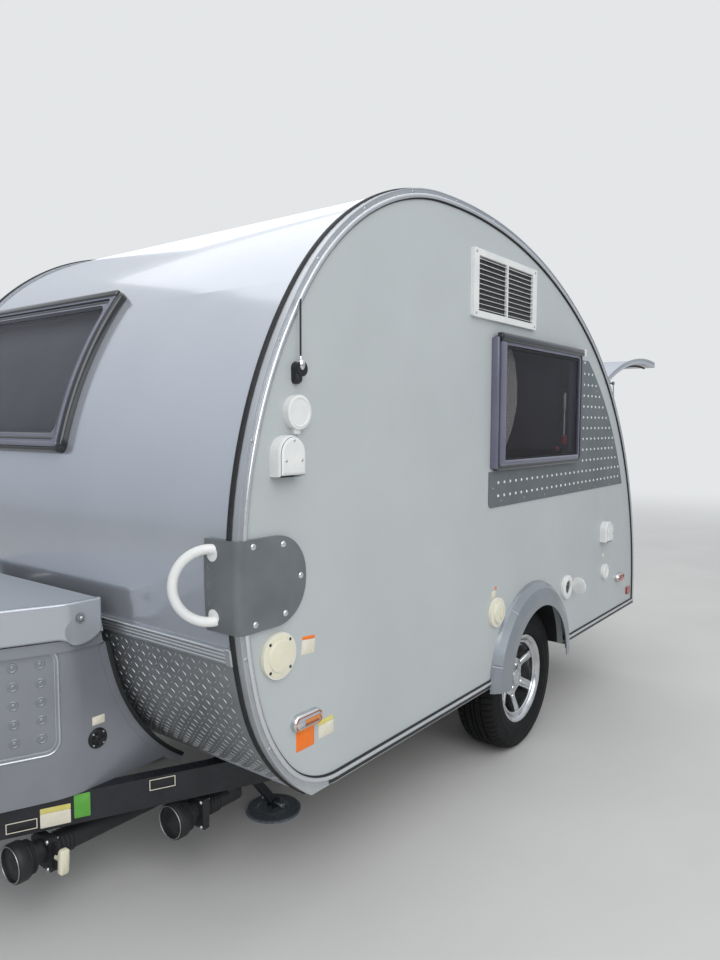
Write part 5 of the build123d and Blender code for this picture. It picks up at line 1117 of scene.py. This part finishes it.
# roses where the grab handles meet the corner caps, and the screws between them
rose = turned([(21, 0), (21, 4), (17, 7.5), (13.5, 9)], 28)
screw = turned([(0, 3), (3.4, 2.7), (6.4, 0)], 12)
feet = [out_of_nose(rose, z, 905, 9.6) for z in (1024.0, 1200.0)]
heads = [out_of_nose(screw, z, 894, 9.2) for z in (1062.0, 1112.0, 1163.0)]
piece("handle_feet", mirrored(join(*feet)), WHITE_ABS)
piece("cap_front_screws", mirrored(join(*heads)), ZINC, 50)

# steadies: galvanised pads, clevis pins and the bolts of their brackets
STEADIES = [
    # body, x of the foot, y, x of the hinge
    ("steady_front_left", 1100.0, 420.0, 1340.0),
    ("steady_front_right", 1100.0, -420.0, 1340.0),
    ("steady_rear_left", -1180.0, 420.0, -1420.0),
    ("steady_rear_right", -1180.0, -420.0, -1420.0),
]
pad = lathe([(0, 15.6), (56, 15.4), (59, 14.6), (67, 10.2), (98, 13.4), (107, 11.6), (110.8, 9.4),
             (110.8, 0.4), (0, 0.4)], 64)
half = [(6.8, 44), (11.5, 44), (12, 46), (12, 52), (10, 55), (0, 55)]
pin = lathe([(r, -s) for r, s in half[::-1]] + half, 20)
head = hex_bolt([(13, 0), (13, 2), (9, 2)], [(0, 8), (6, 7.6), (8.6, 6), (9, 2)], 20)
heads = []
for body, x, y, hinge in STEADIES:
    piece(body + "_pad", put(pad, (x, y, 0)), GALVANISED, body=body)
    across = put(pin, (x, y, 34), (1, 0, 0), (0, 0, -1))
    piece(body + "_pin", across, ZINC, 50, body=body, slot="black_steel")
    heads += [put(head, (hinge, y + s * 30, 338), (-s, 0, 0), (0, 0, 1)) for s in (1, -1)]
piece("bracket_bolts", join(*heads), ZINC)

# entry door on the right side: seal, lever, lock and the surround of its window
section = [(0.3, -5), (0.3, 3.4), (2, 4.6), (4.2, 4.0), (4.6, 1), (4.6, -5)]
seal = plate(649, 1519, 89, section, 8, 4, ring=True)
piece("door_seal", on_wall(seal, 780, 1230, side=-1), RUBBER, 50)
section = [(2, 12), (2, 15), (5, 17.8), (14, 18.6), (24, 17.6), (28, 14), (28, 10)]
ridge = plate(430, 515, 50, section, 7, ring=True)
piece("door_window_ridge", on_wall(ridge, 775, 1602.5, side=-1), BLACK_ACRYLIC, body="door")
dish = plate(86, 116, 20, [(1, 15), (1, 17), (4, 19), (8, 19), (12, 16.5), (12, 15)], 6, ring=True)
paddle = plate(54, 44, 10, [(0, 15), (0, 24), (4, 29), (9, 30)], 5)
lever = join(on_wall(dish, 540, 1210, side=-1), on_wall(paddle, 544, 1228, side=-1))
piece("door_lever", lever, BLACK_ABS, body="door")
lock = turned([(14, 16), (14, 20), (11, 22.5), (6, 22.8), (5.6, 21.4), (0, 21.4)], 28)
piece("door_lock", on_wall(lock, 540, 1176, side=-1), CHROME, body="door")
screw = turned([(0, 2.2), (2.8, 2), (4.4, 0)], 10)
heads = [on_wall(screw, 1118, z + dz, 3.3, side=-1) for z in (720, 1740) for dz in (-28, 28)]
piece("jamb_screws", join(*heads), ZINC, 50)
tread = plate(560, 26, 4, [(0, 0), (0, 3), (1, 4)], 2)
piece("door_sill_tread", put(tread, (780, -968, 474.2), (1, 0, 0), (0, 1, 0)), ANODISED, 35)

# tail lamps: turned lenses in chromed rings, red outside and amber inside
TAIL_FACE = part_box("lamps")[0].x * 1000 - SHIFT


def face_back(shape, y, z, x):
    """Stands a shape on an upright face that looks to the tail: local z points to -X."""
    return put(shape, (x, y, z), (0, -1, 0), (0, 0, 1))


cup = turned([(0, 6.5), (16, 6.2), (17.5, 4.8), (19, 6), (40, 4.6), (50, 1.5), (54, -4)], 48)
bowl = lathe([(54, -12), (59, -12), (60.5, -6), (60.5, 0), (58, 2.6), (54, 1.4), (53.4, -4)], 48, wrap=True)
for name, y, glass in (("red", 780, RED_LENS), ("amber", 640, AMBER_LENS)):
    piece(name + "_tail_lenses", join(*[face_back(cup, s, 640, TAIL_FACE) for s in (y, -y)]), glass)
rings = [face_back(bowl, y, 640, TAIL_FACE) for y in (780, 640, -640, -780)]
piece("tail_lamp_rings", join(*rings), CHROME, slot="trim_metal")

# hatch, drawn shut and turned open about its hinge as the source does
H_HINGE, H_LOW = heading_of(1775.0, *TAIL), heading_of(850.0, *TAIL)
OPEN_BY = radians(72.0)
PIVOT = outline(H_HINGE, -10.0)


def opened(shape):
    """Turns a shape drawn on the shut hatch by OPEN_BY about the hinge, which runs along Y."""
    c, s = cos(OPEN_BY), sin(OPEN_BY)
    x, z = shape[0][:, 0] - PIVOT[0], shape[0][:, 2] - PIVOT[1]
    return np.stack([PIVOT[0] + x * c + z * s, shape[0][:, 1], PIVOT[1] - x * s + z * c], -1), shape[1]


def along_hatch(h0, h1, d, y, section, steps=50):
    """Rail of a section (across, up) along the outline between two headings at depth d."""
    line = outline(np.linspace(h0, h1, steps), d)
    return carry(np.stack([line[:, 0], np.full(steps, float(y)), line[:, 1]], -1), (0, 1, 0), section)


angle = np.array([(-9, 0), (-9, 2.2), (-7, 3.2), (2.6, 3.2), (2.6, -13), (0.4, -13), (0.4, 0)], float)
sides = mirrored(along_hatch(H_HINGE + 1.4, H_LOW - 0.4, 3.0, 938.0, angle))
foot = wrap(plate(1868, 26, 2, [(0, -3.2), (0, -1.2), (1, -0.2)], 2, 2), reach(H_LOW) - 14, 0.0)
piece("hatch_edge_rails", opened(join(sides, foot)), ANODISED, 50, body="hatch")
ring = np.array([(-5, -3), (-5, 5), (0, 8), (5, 5), (5, -3)], float)
low = along_hatch(H_HINGE + 3.4, H_LOW - 2.4, 34.5, 890.0, ring)
piece("hatch_bulb_seal", opened(mirrored(low)), RUBBER, 50, body="hatch")
batten = [(-24, -2), (-22, 3), (22, 3), (24, -2)]
ribs = [along_hatch(H_HINGE + 4, H_LOW - 4, 37.5, y, batten) for y in (-440.0, 0.0, 440.0)]
piece("hatch_liner_battens", opened(join(*ribs)), MAPLE, 50, body="hatch")
strip = wrap(plate(900, 22, 6, [(0, -46), (0, -40), (3, -37)], 4), reach(H_HINGE + 7), 0.0)
piece("hatch_lamp_strip", opened(strip), WHITE_ABS, body="hatch")
bezel = turned([(30, 0), (30, 4), (26, 8), (14, 9), (13, 6), (0, 6)], 36)
h = H_LOW - 3.6
spot, up = outline(h, 3.0), (-cos(radians(h)), 0, -sin(radians(h)))
locks = [put(bezel, (spot[0], y, spot[1]), (0, 1, 0), up) for y in (260, -260)]
piece("hatch_locks", opened(join(*locks)), BLACK_ABS, body="hatch")
bead = np.array([(-5, -4), (-5, 3), (-2, 5), (0, 3), (0, -4)], float)
sides = mirrored(along_hatch(H_HINGE - 0.5, 269.0, 6.0, 949.8, bead, 60))
piece("hatch_opening_seal", sides, RUBBER, 50)

# roof vent: ribs on the lid, and its raised rim
VENT_LEAN, VENT_RISE = radians(7.0), 63.5
vent = outline(187.0, 5.0)
way = (cos(VENT_LEAN), 0, sin(VENT_LEAN))
crown = (vent[0] - VENT_RISE * sin(VENT_LEAN), 0.0, vent[1] + VENT_RISE * cos(VENT_LEAN))
rib = plate(352, 17, 6, [(0, -1), (0.5, 3), (3, 5.5), (6, 6)], 4)
shapes = [put((rib[0] + [0, y, 0], rib[1]), crown, way) for y in (-140, -84, -28, 28, 84, 140)]
section = [(1, -2), (0.5, 2.4), (4, 4.2), (12, 4.2), (15, 1.5), (15, -2)]
rim = put(plate(410, 410, 22, section, 6, ring=True), crown, way)
piece("vent_lid_ribs", join(*shapes, rim), WHITE_ABS, body="vent_lid")


# galley in the tail: tap, drain, burners, pan supports, knobs and cabinet doors


def pipe(line, y, r, steps, count):
    """Round pipe through bends: its line of (x, z) lies in the upright plane at y."""
    return carry(bent([(x, y, z) for x, z in line], steps), (0, 1, 0), circle(r, count))


line = [(-1124, 838), (-1124, 960), (-1130, 1052), (-1215, 1064), (-1268, 1030), (-1272, 985)]
tap = pipe(line, 545, 9, 10, 14)
base = put(lathe([(26, 0), (26, 4), (20, 10), (14, 16), (12, 40), (9, 44)], 28), (-1124, 545, 838.2))
handle = plate(64, 14, 6, [(2, 0), (0, 2), (0, 7), (3, 9)], 4)
handle = put(handle, (-1124, 590, 882), (0.1, 1, 0.1), (-1, 0, 0))
drain = put(turned([(0, 1), (20, 1), (21, 3), (30, 4), (38, 2.4), (40, 0.2)], 32), (-1340, 545, 703))
piece("galley_tap", join(tap, base, handle, drain), CHROME, slot="steel_sheet")
burner, grate, knobs = [], [], []
STOVE_X = -1340
ring = turned([(0, 13), (24, 12.4), (28, 9), (28, 2), (36, 1.4), (42, 2.2)], 30)
bar = plate(58, 5, 2, [(0, 0), (0, 16), (1, 18)], 2)
knob = turned([(16, 0), (16, 5), (12, 7), (11, 20), (9, 22), (0, 22.4)], 24)
for y in (-650.0, -440.0):
    burner.append(put(ring, (STOVE_X, y, 852)))
    for a in np.radians([0, 90, 180, 270]):
        c, s = cos(a), sin(a)
        grate.append(put(bar, (STOVE_X + 52 * c, y + 52 * s, 862), (c, s, 0), (-s, c, 0)))
    knobs.append(put(knob, (-1212, y, 850.2)))
piece("stove_burners", join(*burner), BLACK_STEEL)
piece("stove_pan_supports", join(*grate), BLACK_STEEL)
piece("stove_knobs", join(*knobs), BLACK_ABS)
front = [(0, 0.3), (0, 15), (2, 17), (26, 17), (29, 14.5), (34, 14.5)]
doors = [face_back(plate(w, h, 6, front, 3), y, z, -1062.0)
         for z, h in ((1110, 420), (1520, 270)) for y, w in ((-640, 560), (0, 620), (640, 560))]
piece("galley_cabinet_doors", join(*doors), MAPLE)
knob = turned([(5, 0), (5, 9), (11, 13), (13, 18), (11, 22), (0, 24)], 20)
knobs = [face_back(knob, y, z, -1078.0) for z in (1240, 1430) for y in (-410, -260, 410)]
piece("galley_cabinet_knobs", join(*knobs), ZINC)

# cabin: bench and kitchen fronts with their knobs, basin and tap
panels, pulls = [], []
panel = plate(440, 300, 6, [(0, 0.3), (0, 12), (2, 14), (24, 14), (27, 11.5), (32, 11.5)], 3)
for side in (1, -1):
    for x in (-800.0, -315.0, 170.0):
        panels.append(put(panel, (x, side * 400, 632), (side, 0, 0), (0, 0, 1)))
        pulls.append(put(knob, (x + 180, side * 386.5, 740), (side, 0, 0), (0, 0, 1)))
for z, h in ((700, 420), (1030, 180)):
    for y, w in ((-290, 440), (-750, 420)):
        panels.append(face_back(plate(w, h, 6, front, 3), y, z, 1119.7))
        pulls.append(face_back(knob, y + 150, z + h / 2 - 60, 1104.0))
piece("cabin_cupboard_fronts", join(*panels), MAPLE)
piece("cabin_cupboard_knobs", join(*pulls), ZINC)
basin = lathe([(150, 0), (150, 3), (142, 4), (136, 0.8), (0, 0.6)], 40, (False, True))
basin = put(basin, (1300, -420, 1180.2))
spout = pipe([(1420, 1180), (1420, 1290), (1400, 1352), (1330, 1352), (1318, 1310)], -420, 8, 8, 12)
piece("cabin_basin", join(basin, spout), STAINLESS)

# soft goods


def sheet_piece(name, points, finish):
    """Cloth on a grid of points (rows x columns x 3)."""
    rows, cols = points.shape[:2]
    thing = piece(name, (points.reshape(-1, 3), [quads(rows, cols)]), finish, 180)
    thicken(thing, 0.0012, 0.0)


def curtain(side, x0, z0, z1, edge):
    """Gathered curtain inside a side window: eleven folds as a sine across it, deepest at half
    height; its free edge follows the given (height share, width) curve of a tied drape."""
    v, u = np.meshgrid(np.linspace(0, 1, 60), np.linspace(0, 1, 72), indexing="ij")
    wide = np.interp(v, *np.array(edge).T)
    x = x0 - u * wide
    fold = 5.0 * np.sin(2 * pi * u * 11 + 1.3 * np.sin(5 * v)) * (0.6 + 0.4 * np.sin(pi * v))
    return np.stack([x, side * (944.0 + fold), z0 + (z1 - z0) * v], -1)


def pleats(high, pitch=26.0):
    """Grid of a pleated blind: its height share, its width share and a zigzag of depth 9 mm."""
    count = int(high / pitch) * 2
    v, u = np.meshgrid(np.arange(count + 1) / count, np.linspace(0, 1, 12), indexing="ij")
    return v, u, np.where(np.arange(count + 1) % 2 == 0, -4.5, 4.5)[:, None] + 0 * u


DRAPE = [(0, 168), (0.12, 190), (0.3, 255), (0.5, 300), (0.7, 310), (0.88, 285), (1, 240)]
DRAPE_X, BLIND_W, BLIND_Z0, BLIND_Z1 = 338.0, 886.0, 1388.0, 1900.0
v, u, zig = pleats(BLIND_Z1 - BLIND_Z0)
for side, name in ((1, "left"), (-1, "right")):
    drape = curtain(side, DRAPE_X, BLIND_Z0, BLIND_Z1, DRAPE)
    sheet_piece("window_curtain_" + name, drape, CURTAIN)
    blind = [DRAPE_X - BLIND_W * (1 - u), side * 922.0 + zig, BLIND_Z0 + (BLIND_Z1 - BLIND_Z0) * v]
    sheet_piece("window_blind_" + name, np.stack(blind, -1), BLIND_CLOTH)

# pale pleated blind inside the front window, following the curve of the nose
S_LOW, S_HIGH = reach(103.6), reach(127.8)
v, u, zig = pleats(S_HIGH - S_LOW)
line = outline(np.interp(S_LOW + (S_HIGH - S_LOW) * v, LENGTHS, HEADINGS), 46.5 + zig)
pale = np.stack([line[..., 0], -866.0 + 898.0 * u, line[..., 1]], -1)
sheet_piece("front_window_blind", pale, PALE_BLIND)

# washroom curtain on its rod, in deep sine folds that open out towards the hem
v, u = np.meshgrid(np.linspace(0, 1, 60), np.linspace(0, 1, 160), indexing="ij")
swing = (14 + 10 * v) * np.sin(2 * pi * 9 * u + 0.5 * np.sin(3 * v + 6 * u))
drop = np.stack([1102.0 - swing, 325.0 + 540.0 * u + 5 * np.sin(7 * v), 2010.0 - 1500.0 * v], -1)
sheet_piece("washroom_curtain", drop, CURTAIN)
rod = carry([(1102, 300, 2016), (1102, 890, 2016)], (0, 0, 1), circle(8, 12))
piece("washroom_curtain_rod", rod, ZINC)

# inside the left and right panes: a white telescopic stay, black catches and red lock buttons
stays, buttons, catches = [], [], []
stay = lathe([(0, 0), (4.5, 0), (4.5, 130), (7, 132), (7, 215), (0, 215)], 14)
foot = turned([(13, 0), (15, 12), (15, 38), (12, 48), (0, 50)], 20)
catch = plate(64, 26, 6, [(2, -32), (0, -30), (0, -18), (2, -16)], 4)
button = plate(34, 20, 6, [(0, -17), (0, -10), (3, -7)], 4)
for side in (1, -1):
    stays.append(put(stay, (-478.0, side * 966, 1500)))
    buttons.append(put(foot, (-478.0, side * 966, 1452)))
    for x in (291.0, -361.0):
        catches.append(on_wall(catch, x, 1424, side=side))
        buttons.append(on_wall(button, x, 1436, side=side))
piece("window_stays", join(*stays), WHITE_ABS)
piece("window_catches", join(*catches), BLACK_ABS)
piece("window_lock_buttons", join(*buttons), RED_ABS)

# cushions of the benches, swollen by a cloth simulation
CLOTH = {"use_pressure": True, "uniform_pressure_force": 4.0, "quality": 5, "tension_stiffness": 20.0,
         "compression_stiffness": 12.0, "bending_stiffness": 1.0}


def rounded_block(w, h, t, edge, r):
    """Closed block w x h x t with rounded corners r and quarter-circle edges of radius edge."""
    bend = np.linspace(0, pi / 2, 5)
    low = [(edge * (1 - sin(a)), edge * (1 - cos(a)) - t / 2) for a in bend]
    high = [(edge * (1 - cos(a)), t / 2 - edge + edge * sin(a)) for a in bend]
    return plate(w, h, r, low + high, 6, 8)


def seen_mesh(thing):
    """A thing's mesh with its modifiers applied, and its points as one row of numbers in metres."""
    mesh = bpy.data.meshes.new_from_object(thing.evaluated_get(bpy.context.evaluated_depsgraph_get()))
    points = np.empty(len(mesh.vertices) * 3)
    mesh.vertices.foreach_get("co", points)
    return mesh, points


def puff(w, h, t, cap=24.0, voxel=15.0, frames=20):
    """Pad swollen by cloth under a light inner pressure: a rounded block, remeshed evenly, is run
    for some frames; no point moves further than cap, all in millimetres."""
    points, faces = rounded_block(w, h, t, 20, 34)
    mesh = bpy.data.meshes.new("pad_start")
    mesh.from_pydata((points / 1000).tolist(), [], [f for block in faces for f in block.tolist()])
    pad = bpy.data.objects.new("pad_start", mesh)
    scene = bpy.context.scene
    scene.collection.objects.link(pad)
    grid = pad.modifiers.new("grid", "REMESH")
    grid.mode, grid.voxel_size = "VOXEL", voxel / 1000
    bpy.context.view_layer.update()
    even, before = seen_mesh(pad)
    pad.modifiers.clear()
    pad.data = even
    cloth = pad.modifiers.new("cloth", "CLOTH")
    for key, value in CLOTH.items():
        setattr(cloth.settings, key, value)
    cloth.settings.effector_weights.gravity = 0.0
    cloth.point_cache.frame_start, cloth.point_cache.frame_end = 1, frames
    for step in range(1, frames + 1):
        scene.frame_set(step)
    done, after = seen_mesh(pad)
    quad = np.empty(len(done.loops), int)
    done.loops.foreach_get("vertex_index", quad)
    bpy.data.objects.remove(pad)
    scene.frame_set(1)
    before, moved = before.reshape(-1, 3) * 1000, (after - before).reshape(-1, 3) * 1000
    far = np.linalg.norm(moved, axis=1, keepdims=True)
    return before + moved * np.minimum(1.0, cap / np.maximum(far, 1e-6)), [quad.reshape(-1, 4)]


def welt(shape, w, h, z, dz):
    """Piping sewn on a pad's edge: a ray from outside at height z + dz, aimed inwards at height
    z - dz, finds the cloth at each point of a rounded rectangle; a cord 6.4 mm thick runs there."""
    faces = [f for block in shape[1] for f in block.tolist()]
    cloth = BVHTree.FromPolygons((shape[0] / 1000).tolist(), faces)
    far, near = (pad_loop(w + d, h + d, r, 6, 30) / 1000 for d, r in ((120, 90), (-120, 20)))
    hits = []
    for (ax, ay), (bx, by) in zip(far, near):
        start = Vector((ax, ay, (z + dz) / 1000))
        hits.append(cloth.ray_cast(start, Vector((bx, by, (z - dz) / 1000)) - start)[0])
    line = np.array([hit for hit in hits if hit is not None]) * 1000
    for _ in range(4):
        line = (np.roll(line, 1, 0) + 2 * line + np.roll(line, -1, 0)) / 4
    return carry(line, (0, 0, 1), circle(3.2, 8), closed=True)


def cushion(name, lows, highs, w, h, t):
    """Like cushions in boxes given by their low and high corners: x runs along w and the pad's
    own z along its thickness. Seat pads lie flat; back pads stand against the wall."""
    shape = puff(w - 26, h - 26, t - 30)
    cords = join(welt(shape, w, h, t / 2 - 26, 34), welt(shape, w, h, 26 - t / 2, -34))
    pads, ropes = [], []
    for low, high in zip(lows, highs):
        low, high = np.array(low, float), np.array(high, float)
        mid = (low + high) / 2
        stand = (1, 0, 0), ((0, 1, 0) if high[2] - low[2] < 200 else (0, 0, 1))
        for made, keep in ((shape, pads), (cords, ropes)):
            placed = put(made, mid, *stand)
            keep.append((np.clip(placed[0], low + 0.6, high - 0.6), placed[1]))
    cloth = piece(name, join(*pads), UPHOLSTERY, 180)
    smooth = cloth.modifiers.new("smooth", "SUBSURF")
    smooth.levels = smooth.render_levels = 1
    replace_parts(cloth, "cushions")
    piece(name + "_piping", join(*ropes), PIPING, 60)


lows = [(x, y, 812.6) for x in (-1046.0, -313.0) for y in (402.0, -956.0)]
highs = [(x + 730.0, y + 554.0, 912.2) for x, y, _ in lows]
cushion("seat_cushions", lows, highs, 730.0, 554.0, 99.6)
lows = [(x, y, 914.0) for x in (-1046.0, -332.0) for y in (876.0, -957.0)]
highs = [(x + 711.0, y + 81.0, 1289.4) for x, y, _ in lows]
cushion("back_cushions", lows, highs, 711.0, 375.4, 81.0)
